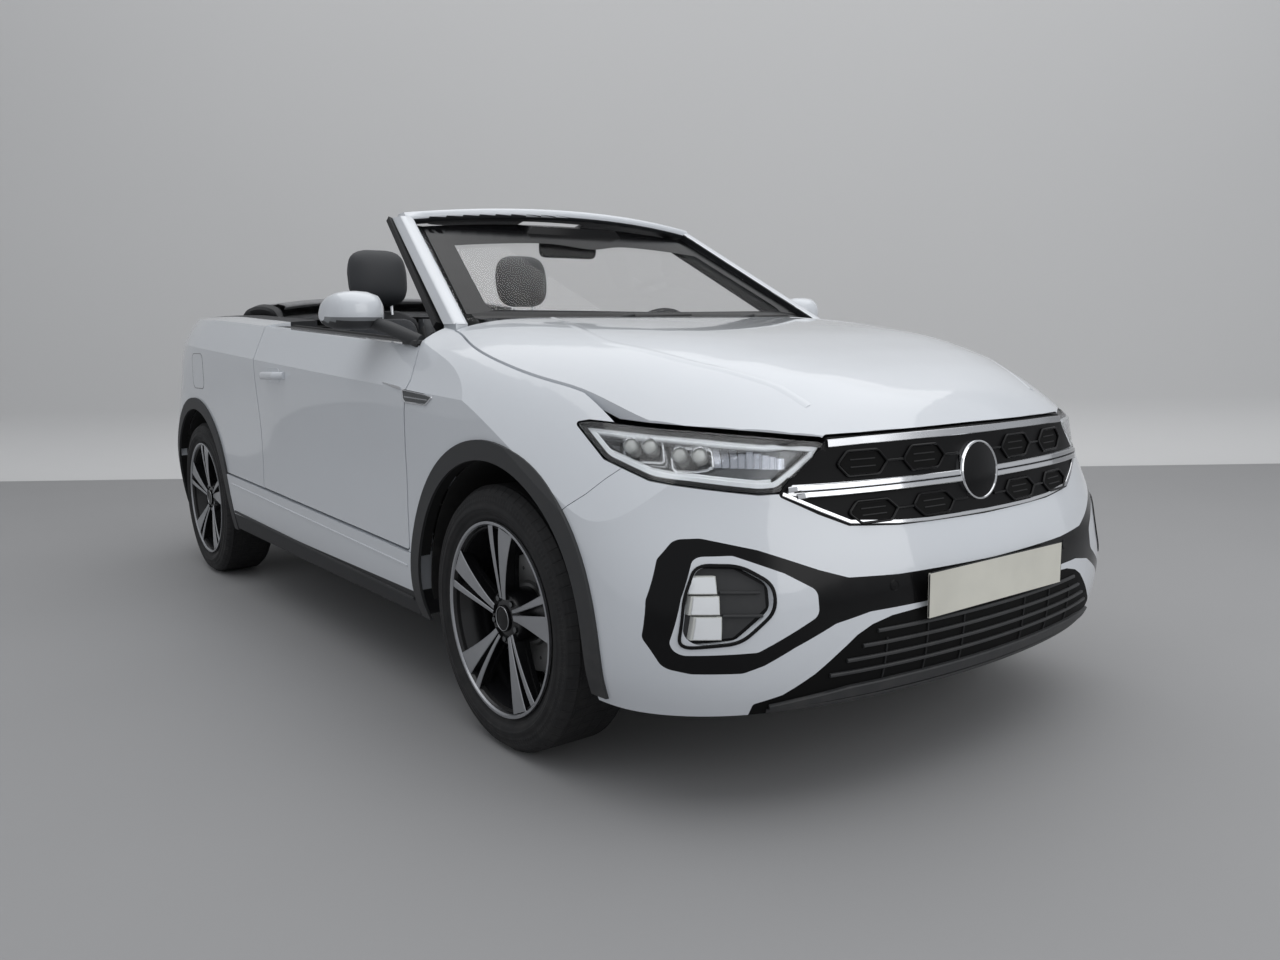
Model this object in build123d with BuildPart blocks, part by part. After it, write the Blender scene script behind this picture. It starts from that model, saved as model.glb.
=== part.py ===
"""Two-door compact SUV with its fabric roof folded down: body, closures, cabin and running gear.

Frame: +X forward, +Y to the car's left, +Z up, origin on the ground below the middle of the car.
"""
from build123d import *
import math
import os

os.makedirs("parts", exist_ok=True)

# ---------------------------------------------------------------- driving sizes, mm
LENGTH = 4271.0
HALF_WIDTH = 893.0            # at the shoulder crease, arch trims stand a little outside it
WHEELBASE = 2630.0
FRONT_AXLE_X = 1300.0
REAR_AXLE_X = FRONT_AXLE_X - WHEELBASE
TRACK = 1544.0
WHEEL_Y = TRACK / 2
TYRE_RADIUS = 336.0
TYRE_WIDTH = 215.0
RIM_RADIUS = 228.6            # bead seat of an 18 inch wheel
RIM_FLANGE = 18.0
ARCH_RADIUS = 400.0
ARCH_TRIM_WIDTH = 50.0
ARCH_TRIM_PROUD = 8.0
SHUT_GAP = 6.0                # between a moving panel and its neighbour
PANEL_GAP = 2.0               # between two fixed panels
THROUGH = 2300.0              # cutters end beyond the bumpers here
PANEL = 28.0                  # outer panel with its inner pressing
WALL = 130.0                  # whole door or cabin wall
FLOOR_Z = 215.0
FLOOR_THICKNESS = 30.0
BELT_Z = 1060.0               # belt line's height at x = 0
BELT_RISE = 0.0565
DOOR_SILL_Z = 468.0           # door's lower edge at x = 0
DOOR_SILL_RISE = 0.030
DOOR_FRONT_X = 845.0          # at the belt
DOOR_REAR_X = -440.0
LID_FRONT_X = -1600.0
LID_HALF_WIDTH = 560.0
LID_LOWER_Z = 720.0
STEER_Y = 730.0               # steering axis, beside the tyre's inner wall
FIT = 0.3                     # running gap of parts that only just clear
PIN_RADIUS = 5.0              # hinge pins
STEER_PIN = 6.0               # pin that a front knuckle turns on
STEER_BOSS = 10.0             # round end of the arm below it, clear of the brake disc at full lock
STRAP = 16.0                  # thickness of a hinge strap

PLATE_PROUD = 7.0             # number plates stand this far off the bumpers

NOSE_X = LENGTH / 2
TAIL_X = -LENGTH / 2

# Plan outlines of the body, from the underside up: height above the ground at DOOR_FRONT_X, rise
# towards the tail, half width, setback of nose and tail from the bumper tips, where the flank
# starts to turn in at the front and at the rear, and how far it swells over the wheels.
LEVELS_LOWER = (
    (200.0, 0.000, HALF_WIDTH - 53, 50.0, 55.0, 1690.0, -1600.0, 0.0),
    (300.0, 0.012, HALF_WIDTH - 22, 13.0, 23.0, 1690.0, -1600.0, 4.0),
    (412.0, 0.030, HALF_WIDTH - 10, 0.0, 0.0, 1690.0, -1600.0, 8.0),
    (560.0, 0.032, HALF_WIDTH - 13, 12.0, 8.0, 1640.0, -1560.0, 14.0),
    (690.0, 0.036, HALF_WIDTH - 11, 50.0, 44.0, 1480.0, -1450.0, 12.0),
    (800.0, 0.045, HALF_WIDTH - 3, 72.0, 66.0, 1320.0, -1350.0, 4.0),
    (895.0, 0.053, HALF_WIDTH, 86.0, 90.0, 1250.0, -1200.0, 0.0),
)
LEVELS_UPPER = (
    LEVELS_LOWER[-1],
    (950.0, 0.060, HALF_WIDTH - 27, 108.0, 122.0, 1200.0, -1120.0, 0.0),
    (1008.0, 0.066, HALF_WIDTH - 55, 140.0, 180.0, 1150.0, -950.0, 0.0),
    (1130.0, 0.070, HALF_WIDTH - 118, 205.0, 250.0, 1100.0, -850.0, 0.0),
)
NOSE_BOW = 150.0              # how far the front runs back by its corner, before it turns
TAIL_BOW = 90.0
CORNER_FULLNESS = 5.0
FLARE_REACH = 420.0           # length of the swelling over a wheel
BARREL = 10.0                 # how much narrower the flank is at its ends

# Upper surface: its height in the middle, its drop at the shoulder and its fullness, along the car.
SHOULDER_Y = 850.0
TOP_EDGE_Y = 925.0
TOP_DEPTH = 1600.0
TOP_MIDDLE = ((-2200, 1095), (-2060, 1128), (-1900, 1146), (-1600, 1152), (-1200, 1146), (-800, 1127),
              (-400, 1104), (0, 1080), (400, 1057), (700, 1046), (850, 1092), (1000, 1086), (1200, 1069),
              (1500, 1037), (1720, 988), (1850, 944), (1950, 890), (2000, 851), (2045, 806), (2200, 640))
TOP_DROP = ((-2200, 60), (-1900, 44), (-1500, 34), (-800, 26), (0, 24), (700, 28), (850, 88), (1200, 150),
            (1500, 250), (1720, 345), (1850, 390), (1950, 370), (2045, 300), (2200, 290))
TOP_FULLNESS = ((-2200, 6), (-1500, 9), (-800, 10), (700, 10), (900, 8), (1200, 7), (1500, 6), (1720, 5),
                (1850, 4.2), (1950, 3.6), (2045, 3), (2200, 3))


# Outlines of the openings and lamps in the skin, left half.
HOOD_SIDE = ((1722, 710), (1605, 734), (1500, 752), (1380, 774), (1250, 788), (1130, 789), (1030, 775),
             (960, 757), (912, 750))
HOOD_RUNS = 24                # straight runs that the side edge of the hood is cut in
HOOD_ENDS = ((912, 750), (918, 720), (938, 640), (970, 400), (985, 0), (985, -100), (2036, -100), (2040, 0),
             (2035, 178), (2014, 357), (1993, 454), (1959, 516), (1890, 596), (1806, 664), (1722, 710))
LAMP_OUTLINE = ((211, 838), (180, 844), (53, 834), (-53, 827), (-177, 817), (-305, 804), (-326, 790),
                (-303, 764), (-257, 730), (-210, 699), (-166, 698), (-41, 714), (59, 727), (151, 765))
GRILLE_OUTLINE = ((-50, 812), (445, 810), (480, 770), (530, 732), (572, 694), (492, 651), (425, 622),
                  (288, 611), (-50, 606))
FOG_OUTLINE = ((-50, 506), (320, 510), (452, 518), (518, 540), (637, 589), (730, 615), (770, 613), (802, 573),
               (829, 490), (839, 411), (813, 349), (772, 338), (685, 337), (646, 351), (585, 384), (492, 425),
               (404, 440), (-50, 442))
RING_OUTLINE = ((750, 579), (685, 580), (595, 540), (529, 499), (530, 447), (659, 381), (797, 378), (805, 404),
                (782, 496))
POCKET_OUTLINE = ((748, 560), (677, 557), (623, 518), (625, 467), (693, 406), (790, 397), (775, 497))
INTAKE_OUTLINE = ((-50, 428), (250, 430), (346, 424), (400, 412), (439, 394), (487, 358), (535, 320), (598, 279),
                  (652, 262), (652, 150), (-50, 150))
FOG_LAMP_ROWS = ((410, 458), (462, 500), (504, 540))
FOG_LAMP_Y = 722.0            # inner edge of the fog lamps
BUMPER_SHUT = ((1616, 100), (1616, 651), (1668, 691), (1701, 726), (1723, 746), (1740, 800), (THROUGH, 800),
               (THROUGH, 100))
DOOR_FRONT_LINE = ((0, 1300), (0, 1013), (27, 920), (5, 836), (-7, 723), (-13, 560))
TAIL_LAMP_OUTLINE = ((545, 1000), (545, 840), (1000, 800), (1000, 980))
LID_LAMP_OUTLINE = ((300, 850), (300, 950), (600, 950), (600, 850))
DIFFUSER_OUTLINE = ((-50, 380), (600, 380), (600, 0), (-50, 0))


# ---------------------------------------------------------------- shared forms
def belt(x):
    """Height of the belt line."""
    return BELT_Z - BELT_RISE * x


def door_sill(x):
    """Height of the door's lower edge."""
    return DOOR_SILL_Z - DOOR_SILL_RISE * x


def end_setback(share, bow, depth):
    """How far the plan outline lies behind its tip, at a share of the half width."""
    return bow * share**2 + depth * (1 - (1 - share**CORNER_FULLNESS) ** 0.4)


def plan_outline(level, inset):
    """Plan points of the left half from the nose round to the tail, inset from the paint."""
    _, _, half, nose_back, tail_back, front_turn, rear_turn, flare = level
    nose = NOSE_X - PLATE_PROUD - nose_back - inset
    tail = TAIL_X + PLATE_PROUD + tail_back + inset
    middle = (front_turn + rear_turn) / 2
    reach = (front_turn - rear_turn) / 2

    def width(x):
        swell = sum(math.exp(-(((x - hub) / FLARE_REACH) ** 2)) for hub in (FRONT_AXLE_X, REAR_AXLE_X))
        return half - inset + flare * swell - BARREL * ((x - middle) / reach) ** 2

    shares = (0.0, 0.3, 0.55, 0.74, 0.87, 0.95, 0.985)
    front = []
    for share in shares:
        depth = nose - NOSE_BOW - front_turn
        front.append((nose - end_setback(share, NOSE_BOW, depth), share * width(front_turn)))
    rear = []
    for share in shares:
        depth = rear_turn - tail - TAIL_BOW
        rear.append((tail + end_setback(share, TAIL_BOW, depth), share * width(rear_turn)))
    steps = 8
    flank = []
    for step in range(steps + 1):
        x = front_turn - 60 - step * (front_turn - rear_turn - 120) / steps
        flank.append((x, width(x)))
    return front + flank + rear[::-1]


def level_plane(level):
    """Plane of one plan outline: it tilts up towards the tail."""
    height, rise = level[:2]
    return Plane(origin=(0, 0, height + rise * DOOR_FRONT_X), x_dir=(1, 0, -rise), z_dir=(rise, 0, 1))


def along(knots, x):
    """Smooth value at x between hand-set knots, with no overshoot."""
    last = len(knots) - 2
    i = max(0, min(last, sum(1 for knot in knots if knot[0] <= x) - 1))
    rises = [(b[1] - a[1]) / (b[0] - a[0]) for a, b in zip(knots, knots[1:])]

    def slope(k):
        if k in (0, len(knots) - 1):
            return rises[min(k, last)]
        before, after = rises[k - 1], rises[k]
        return 0.0 if before * after <= 0 else 2 * before * after / (before + after)

    (x0, v0), (x1, v1) = knots[i], knots[i + 1]
    span = x1 - x0
    t = (x - x0) / span
    start, end = slope(i) * span, slope(i + 1) * span
    return (v0 * (1 + 2 * t) + start * t) * (1 - t) ** 2 + (v1 * (3 - 2 * t) - end * (1 - t)) * t**2


def top_height(x, y):
    """Height of the hood, belt or deck surface."""
    return along(TOP_MIDDLE, x) - along(TOP_DROP, x) * (y / SHOULDER_Y) ** along(TOP_FULLNESS, x)


def top_form(inset):
    """Everything below the upper surface, for y > 0."""
    rows = []
    for step in range(89):
        x = -2200 + 50 * step
        across = [TOP_EDGE_Y * (1 - (1 - k / 18) ** 1.5) for k in range(19)]
        rows.append([(x, y, top_height(x, y) - inset) for y in across])
    surface = Face.make_surface_from_array_of_points(rows, tol=0.4)
    with BuildPart() as form:
        extrude(surface, amount=TOP_DEPTH, dir=(0, 0, -1))
    return form.part


def skin(inset, top_inset=None):
    """Left half of the body's outer form, inset from the paint by a wall."""
    if top_inset is None:
        top_inset = inset
    with BuildPart() as form:
        for levels in (LEVELS_LOWER, LEVELS_UPPER):
            for level in levels:
                points = plan_outline(level, inset)
                with BuildSketch(level_plane(level)):
                    with BuildLine():
                        Spline(*points, tangents=[(0, 1), (0, -1)])
                        Line(points[-1], points[0])
                    make_face()
            loft()
    with BuildPart() as half:
        add(form.part)
        add(top_form(top_inset), mode=Mode.INTERSECT)
    return half.part


def prism(plane, points, depth, radius=0.0, grow=0.0):
    """Straight-sided block over a polygon, with rounded corners, grown evenly by a gap."""
    with BuildPart() as block:
        with BuildSketch(plane):
            with BuildLine():
                Polyline(*points, close=True)
            make_face()
            if radius:
                fillet(vertices(), radius)
            if grow:
                offset(amount=grow)
        extrude(amount=depth)
    return block.part


def side_prism(points, y_from, y_to, radius=0.0, grow=0.0):
    """Block over an (x, z) polygon, between two distances from the middle plane."""
    return prism(Plane.XZ.offset(-y_to), points, y_to - y_from, radius, grow)


def front_prism(points, x_from, x_to, radius=0.0, grow=0.0):
    """Block over a (y, z) polygon, between two stations."""
    return prism(Plane.YZ.offset(x_from), points, x_to - x_from, radius, grow)


def plan_prism(points, z_from, z_to, radius=0.0, grow=0.0):
    """Block over an (x, y) polygon, between two heights."""
    return prism(Plane.XY.offset(z_from), points, z_to - z_from, radius, grow)


def block(x_from, x_to, y_from, y_to, z_from, z_to):
    """Plain box between its six limits."""
    return plan_prism([(x_from, y_from), (x_to, y_from), (x_to, y_to), (x_from, y_to)], z_from, z_to)


def axle_cylinder(x, z, radius, y_from, y_to):
    """Round bar across the car."""
    with BuildPart() as bar:
        with BuildSketch(Plane.XZ.offset(-y_to)):
            with Locations((x, z)):
                Circle(radius)
        extrude(amount=y_to - y_from)
    return bar.part


def upright_cylinder(x, y, radius, z_from, z_to):
    """Round bar standing up."""
    with BuildPart() as bar:
        with BuildSketch(Plane.XY.offset(z_from)):
            with Locations((x, y)):
                Circle(radius)
        extrude(amount=z_to - z_from)
    return bar.part


def join(*forms):
    """Several forms as one."""
    with BuildPart() as whole:
        for form in forms:
            add(form)
    return whole.part


def keep(base, *cuts, within=()):
    """A form less the cuts, and only what lies within the given forms."""
    with BuildPart() as piece:
        add(base)
        for form in within:
            add(form, mode=Mode.INTERSECT)
        for cut in cuts:
            add(cut, mode=Mode.SUBTRACT)
    return piece.part


def both_sides(half):
    """A left-hand form with its right-hand mirror image."""
    with BuildPart() as pair:
        add(half)
        mirror(half, about=Plane.XZ)
    return pair.part


def save(part, name):
    """Label a finished piece and write it."""
    part.label = name
    export_step(part, f"parts/{name}.step")


# ---------------------------------------------------------------- body skins and cutters
LAMP_DEPTH = 68.0
GRILLE_DEPTH = 48.0
POCKET_DEPTH = 12.0
TRIM_PROUD = 4.0
SILL_PROUD = 6.0
LINER_OUTER = ARCH_RADIUS + 3
REAR_BEAM_X = -2000.0         # rear face of the cross beam ahead of the rear bumper
LID_GAP = 12.0                # ahead of the boot lid, which swings about a pin inside its edge

paint = skin(0)
panel_back = skin(PANEL)
cabin_side = skin(WALL, PANEL)
clear_of_paint = skin(-FIT)
grille_back = skin(GRILLE_DEPTH)
lamp_back = skin(LAMP_DEPTH)
shell = keep(paint, panel_back)
lining = keep(panel_back, cabin_side)


def hood_cutter(grow):
    """Plan of the hood, left half, with its gap: a smooth side edge in short runs, and straight ends."""
    with BuildLine():
        side = Spline(*HOOD_SIDE)
    runs = [side @ (step / HOOD_RUNS) for step in range(HOOD_RUNS)]
    with BuildPart() as cutter:
        with BuildSketch(Plane.XY.offset(700)):
            with BuildLine():
                Polyline(*[(run.X, run.Y) for run in runs], *HOOD_ENDS)
            make_face()
            if grow:
                offset(amount=grow, kind=Kind.INTERSECTION)
        extrude(amount=550)
    return cutter.part


def lamp_cutter(grow):
    """Outline of a headlamp seen squarely on the car's corner, run back through it."""
    across = Plane(origin=(1800, 700, 0), x_dir=(-0.55, 0.835, 0), z_dir=(0.835, 0.55, 0))
    return prism(across.offset(-260), LAMP_OUTLINE, 700, 5, grow)


def arch_cutter(hub_x, radius):
    """Wheel arch opening on the left, open below."""
    return join(axle_cylinder(hub_x, TYRE_RADIUS, radius, 480, 1000),
                block(hub_x - radius, hub_x + radius, 480, 1000, 100, TYRE_RADIUS))


def bumper_cutter(grow):
    """Side outline of the front bumper."""
    return side_prism(BUMPER_SHUT, -10, 1000, grow=grow)


def rear_bumper_cutter(grow):
    """Side outline of the rear bumper."""
    return side_prism([(-1700, 100), (-1700, 640), (-1760, 700), (-THROUGH, 700), (-THROUGH, 100)], -10, 1000,
                      grow=grow)


def door_cutter(grow, y_from=600):
    """Side outline of a door, grown evenly by a gap; it is open above the belt."""
    points = [(DOOR_FRONT_X + x, z) for x, z in DOOR_FRONT_LINE]
    low_front = DOOR_FRONT_X - 9
    points += [(low_front, door_sill(low_front)), (DOOR_REAR_X, door_sill(DOOR_REAR_X)), (DOOR_REAR_X, 1300)]
    return side_prism(points, y_from, 1000, 12, grow)


def lid_cutter(grow, front_gap=0.0):
    """Side outline of the boot lid across its width."""
    front = LID_FRONT_X + front_gap
    return side_prism([(front, 1300), (front, 1000), (-1960, 1000), (-1960, LID_LOWER_Z - grow),
                       (-THROUGH, LID_LOWER_Z - grow), (-THROUGH, 1300)], -10, LID_HALF_WIDTH + grow)


front_arch = arch_cutter(FRONT_AXLE_X, ARCH_RADIUS)
rear_arch = arch_cutter(REAR_AXLE_X, ARCH_RADIUS)
behind_front_liner = arch_cutter(FRONT_AXLE_X, LINER_OUTER + FIT)
behind_rear_liner = arch_cutter(REAR_AXLE_X, LINER_OUTER + FIT)
grille_hole = front_prism(GRILLE_OUTLINE, 1600, THROUGH, 8)
fog_hole = front_prism(FOG_OUTLINE, 1600, THROUGH, 30)
ring_hole = front_prism(RING_OUTLINE, 1600, THROUGH, 24)
pocket_hole = front_prism(POCKET_OUTLINE, 1600, THROUGH, 30)
intake_hole = front_prism(INTAKE_OUTLINE, 1600, THROUGH, 6)
diffuser_hole = front_prism(DIFFUSER_OUTLINE, -THROUGH, -1700)
tail_lamp_hole = front_prism(TAIL_LAMP_OUTLINE, -THROUGH, -1700)
lid_lamp_hole = front_prism(LID_LAMP_OUTLINE, -THROUGH, -1900, 8)
underside = block(-THROUGH, THROUGH, -10, 1000, 0, 235)
fixed_door_edge = door_cutter(SHUT_GAP)

# ---------------------------------------------------------------- outer panels
PILLAR_BASE = (864.0, 727.0, 1070.0)
PILLAR_TOP = (255.0, 592.0, 1428.0)
PILLAR_LENGTH = 84.0
PILLAR_WIDTH = 44.0
COWL_EDGE_Y = PILLAR_BASE[1] + PILLAR_WIDTH / 2 + 3
SHELF_Z = 1000.0              # top of the beam below the windscreen
HOOD_HINGE_X = 916.0
HOOD_HINGE_Y = 600.0
HOOD_HINGE_Z = 1060.0
DOOR_HINGE_X = 760.0
DOOR_HINGE_Y = 866.0
DOOR_HINGE_HEIGHTS = (580.0, 850.0)
LID_HINGE_X = LID_FRONT_X - 12
LID_HINGE_Y = 400.0
LID_HINGE_Z = 1138.0

hood_panel = keep(shell, lamp_cutter(PANEL_GAP + SHUT_GAP), front_prism(GRILLE_OUTLINE, 1600, THROUGH, 8, SHUT_GAP),
                  within=[hood_cutter(0)])
hood_strap = keep(
    join(block(HOOD_HINGE_X, HOOD_HINGE_X + 70, HOOD_HINGE_Y - STRAP / 2, HOOD_HINGE_Y + STRAP / 2,
               HOOD_HINGE_Z - 11, HOOD_HINGE_Z),
         axle_cylinder(HOOD_HINGE_X, HOOD_HINGE_Z, 11, HOOD_HINGE_Y - STRAP / 2, HOOD_HINGE_Y + STRAP / 2)),
    axle_cylinder(HOOD_HINGE_X, HOOD_HINGE_Z, PIN_RADIUS + FIT, HOOD_HINGE_Y - STRAP, HOOD_HINGE_Y + STRAP))
save(both_sides(join(hood_panel, hood_strap)), "hood")

fender_region = block(DOOR_FRONT_X - 20, 1760, COWL_EDGE_Y, 1000, door_sill(DOOR_FRONT_X) - 8 + PANEL_GAP, 1200)
fender = keep(shell, front_arch, lamp_cutter(PANEL_GAP), hood_cutter(SHUT_GAP), bumper_cutter(PANEL_GAP),
              fixed_door_edge, within=[fender_region])
save(both_sides(fender), "front_fenders")

bumper = keep(shell, front_arch, lamp_cutter(PANEL_GAP), hood_cutter(SHUT_GAP), grille_hole, fog_hole,
              intake_hole, underside, within=[bumper_cutter(0)])
save(both_sides(bumper), "front_bumper")
save(both_sides(join(keep(shell, ring_hole, within=[fog_hole]),
                     keep(skin(POCKET_DEPTH), panel_back, within=[pocket_hole]))), "fog_surrounds")
save(both_sides(keep(shell, pocket_hole, within=[ring_hole])), "fog_rings")

lamp_layer = keep(skin(4), skin(POCKET_DEPTH - FIT))
with BuildPart() as lamp_rows:
    for low, high in FOG_LAMP_ROWS:
        add(front_prism([(FOG_LAMP_Y, low), (FOG_LAMP_Y + 50, low), (FOG_LAMP_Y + 42, high),
                         (FOG_LAMP_Y - 3, high)], 1600, THROUGH))
save(both_sides(keep(lamp_layer, within=[pocket_hole, lamp_rows.part])), "fog_lamps")

save(both_sides(keep(paint, grille_back, within=[grille_hole])), "grille")
trim_band = front_prism([(-50, 711), (539, 715), (553, 695), (520, 690), (-50, 684)], 1600, THROUGH)
save(both_sides(keep(skin(-TRIM_PROUD), clear_of_paint, within=[trim_band])), "grille_trim")
save(both_sides(keep(shell, bumper, underside, within=[intake_hole])), "lower_grille")
save(both_sides(keep(paint, lamp_back, hood_cutter(SHUT_GAP), grille_hole, front_arch, within=[lamp_cutter(0)])),
     "headlamps")


def plate(tip_x, into_x, low, high):
    """Blank number plate with the two bosses that it stands on."""
    panel = block(min(tip_x, tip_x + into_x), max(tip_x, tip_x + into_x), 0, 260, low, high)
    boss = block(min(tip_x + into_x, tip_x + into_x * 14), max(tip_x + into_x, tip_x + into_x * 14), 170, 190,
                 low + 30, high - 30)
    return both_sides(join(panel, keep(boss, clear_of_paint)))


save(join(plate(NOSE_X, -5, 408, 508), plate(TAIL_X, 5, 470, 580)), "plates")


# ---------------------------------------------------------------- doors and rear quarters
def door_half():
    """Left door: outer skin over a thicker inner part that is set in from the opening."""
    above_belt = side_prism([(900, 1300), (900, belt(900) - 1), (-500, belt(-500) - 1), (-500, 1300)], 500, 1000)
    pin_back, pin_out = DOOR_HINGE_X - 8, DOOR_HINGE_Y + 11
    slot_plan = [(pin_back - 8, 600), (pin_back - 8, pin_out - 15), (pin_back, pin_out), (pin_back + 18, pin_out),
                 (pin_back + 88, pin_out - 19), (DOOR_FRONT_X + 60, pin_out - 19), (DOOR_FRONT_X + 60, 600)]
    with BuildPart() as door:
        add(keep(shell, skin(WALL, -SHUT_GAP * 5), within=[door_cutter(0)]))
        add(keep(lining, within=[door_cutter(-14)]))
        add(above_belt, mode=Mode.SUBTRACT)
        for height in DOOR_HINGE_HEIGHTS:
            add(plan_prism(slot_plan, height - 28, height + 28), mode=Mode.SUBTRACT)
            add(upright_cylinder(DOOR_HINGE_X, DOOR_HINGE_Y, PIN_RADIUS + FIT, height - 44, height + 44),
                mode=Mode.SUBTRACT)
    return door.part


def door_hinges():
    """Left goosenecks with their pins, out from the front post into the door."""
    pin_back = DOOR_HINGE_X - STRAP / 2
    neck = [(pin_back, DOOR_HINGE_Y), (pin_back, 757), (872, 757), (872, 740), (900, 740), (900, 757 + STRAP),
            (pin_back + STRAP, 757 + STRAP), (pin_back + STRAP, DOOR_HINGE_Y)]
    with BuildPart() as hinges:
        for height in DOOR_HINGE_HEIGHTS:
            add(plan_prism(neck, height - 20, height + 20))
            add(upright_cylinder(DOOR_HINGE_X, DOOR_HINGE_Y, 9, height - 20, height + 20))
            add(upright_cylinder(DOOR_HINGE_X, DOOR_HINGE_Y, PIN_RADIUS, height - 42, height + 42))
    return hinges.part


left_door = door_half()
save(left_door, "door_left")
save(left_door.mirror(Plane.XZ), "door_right")

quarter_region = side_prism(
    [(DOOR_REAR_X + 20, 1300), (DOOR_REAR_X + 20, door_sill(DOOR_REAR_X) - PANEL_GAP),
     (-1500, door_sill(-1500) - PANEL_GAP), (-THROUGH, 600), (-THROUGH, 1300)], 0, 1000)
cabin_hole = plan_prism([(-400, -10), (-400, 640), (-1560, 640), (-1560, -10)], 300, 1300)
quarter_skin = keep(shell, rear_arch, lid_cutter(SHUT_GAP, LID_GAP), rear_bumper_cutter(PANEL_GAP), cabin_hole,
                    tail_lamp_hole, fixed_door_edge, within=[quarter_region])
quarter_lining = keep(lining, behind_rear_liner, cabin_hole,
                      within=[quarter_region, block(-1000, DOOR_REAR_X - 20, 500, 1000, 500, 1200)])
lid_arm = side_prism([(-1565, 1130), (-1565, 1104), (-1600, 1104), (-1622, 1130), (-1618, 1145), (-1604, 1145),
                      (-1590, 1124), (-1575, 1130)], LID_HINGE_Y - STRAP, LID_HINGE_Y + STRAP)
lid_pin = axle_cylinder(LID_HINGE_X, LID_HINGE_Z, PIN_RADIUS, LID_HINGE_Y - 40, LID_HINGE_Y + 40)
save(both_sides(join(quarter_skin, quarter_lining, lid_arm, lid_pin)), "rear_quarters")

save(both_sides(keep(shell, lid_cutter(SHUT_GAP, LID_GAP), rear_bumper_cutter(PANEL_GAP),
                     within=[tail_lamp_hole])), "tail_lamps")
lid_notch = block(LID_HINGE_X - 15, LID_FRONT_X + 20, LID_HINGE_Y - STRAP - 4, LID_HINGE_Y + STRAP + 4, 1000, 1300)
lid_bore = axle_cylinder(LID_HINGE_X, LID_HINGE_Z, PIN_RADIUS + FIT, LID_HINGE_Y - 42, LID_HINGE_Y + 42)
lid_panel = keep(shell, within=[lid_cutter(0)])
save(both_sides(keep(lid_panel, lid_lamp_hole, lid_notch, lid_bore)), "boot_lid")
save(both_sides(keep(lid_panel, within=[front_prism(LID_LAMP_OUTLINE, -THROUGH, -1900, 8, -FIT)])), "lid_lamps")
rear_bumper = keep(shell, rear_arch, lid_cutter(SHUT_GAP), diffuser_hole, underside, tail_lamp_hole,
                   within=[rear_bumper_cutter(0)])
save(both_sides(rear_bumper), "rear_bumper")
diffuser_foot = keep(block(-THROUGH, REAR_BEAM_X - FIT, 285, 315, 310, 350), within=[paint])
save(both_sides(join(keep(shell, rear_bumper, underside, within=[diffuser_hole]), diffuser_foot)), "rear_diffuser")

sill_front, sill_rear = FRONT_AXLE_X - LINER_OUTER, REAR_AXLE_X + LINER_OUTER
sill_region = side_prism([(sill_front, 250), (sill_front, door_sill(sill_front) - 8),
                          (sill_rear, door_sill(sill_rear) - 8), (sill_rear, 260)], 0, 1000)
sill = keep(skin(-SILL_PROUD), cabin_side, arch_cutter(FRONT_AXLE_X, ARCH_RADIUS + ARCH_TRIM_WIDTH + 1),
            arch_cutter(REAR_AXLE_X, ARCH_RADIUS + ARCH_TRIM_WIDTH + 1),
            within=[sill_region, block(-1000, 1000, 690, 1000, 0, 520)])
save(both_sides(sill), "sills")


def arch_trim(hub_x):
    """Ring of dark cladding round a wheel arch, standing a little outside the flank."""
    ring = keep(axle_cylinder(hub_x, TYRE_RADIUS, ARCH_RADIUS + ARCH_TRIM_WIDTH, 700, 1000),
                axle_cylinder(hub_x, TYRE_RADIUS, ARCH_RADIUS, 480, 1000))
    return keep(skin(-ARCH_TRIM_PROUD), paint, within=[ring, block(-1800, 1800, 700, 1000, 250, 900)])


save(both_sides(join(arch_trim(FRONT_AXLE_X), arch_trim(REAR_AXLE_X))), "arch_trims")


def arch_liner(hub_x):
    """Half tunnel over a wheel."""
    tunnel = keep(axle_cylinder(hub_x, TYRE_RADIUS, LINER_OUTER, 480, 850),
                  axle_cylinder(hub_x, TYRE_RADIUS, ARCH_RADIUS - 1, 470, 860))
    return keep(tunnel, within=[block(hub_x - 500, hub_x + 500, 480, 850, 306, 800)])


strut_hole = block(FRONT_AXLE_X - 52, FRONT_AXLE_X + 52, 500, 620, 680, 800)
save(both_sides(keep(join(arch_liner(FRONT_AXLE_X), arch_liner(REAR_AXLE_X)), strut_hole, within=[panel_back])),
     "arch_liners")

# ---------------------------------------------------------------- windscreen, cowl and mirrors
HEADER_CROWN = 34.0           # how much higher the header is in the middle
HEADER_BOW = 62.0             # how much further forward the header is in the middle
SCREEN_BOW = 80.0             # the same at the foot of the glass
GLASS = 12.0                  # glass measured along the car, where it leans back
MIRROR_X = 590.0
MIRROR_Y = 915.0
MIRROR_Z = 1118.0
MIRROR_TIP_Y = 994.0


def pillar_section(point):
    """Rounded outline of a windscreen pillar at one height."""
    with BuildSketch(Plane(origin=point)) as outline:
        RectangleRounded(PILLAR_LENGTH, PILLAR_WIDTH, 14)
    return outline.sketch


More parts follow.
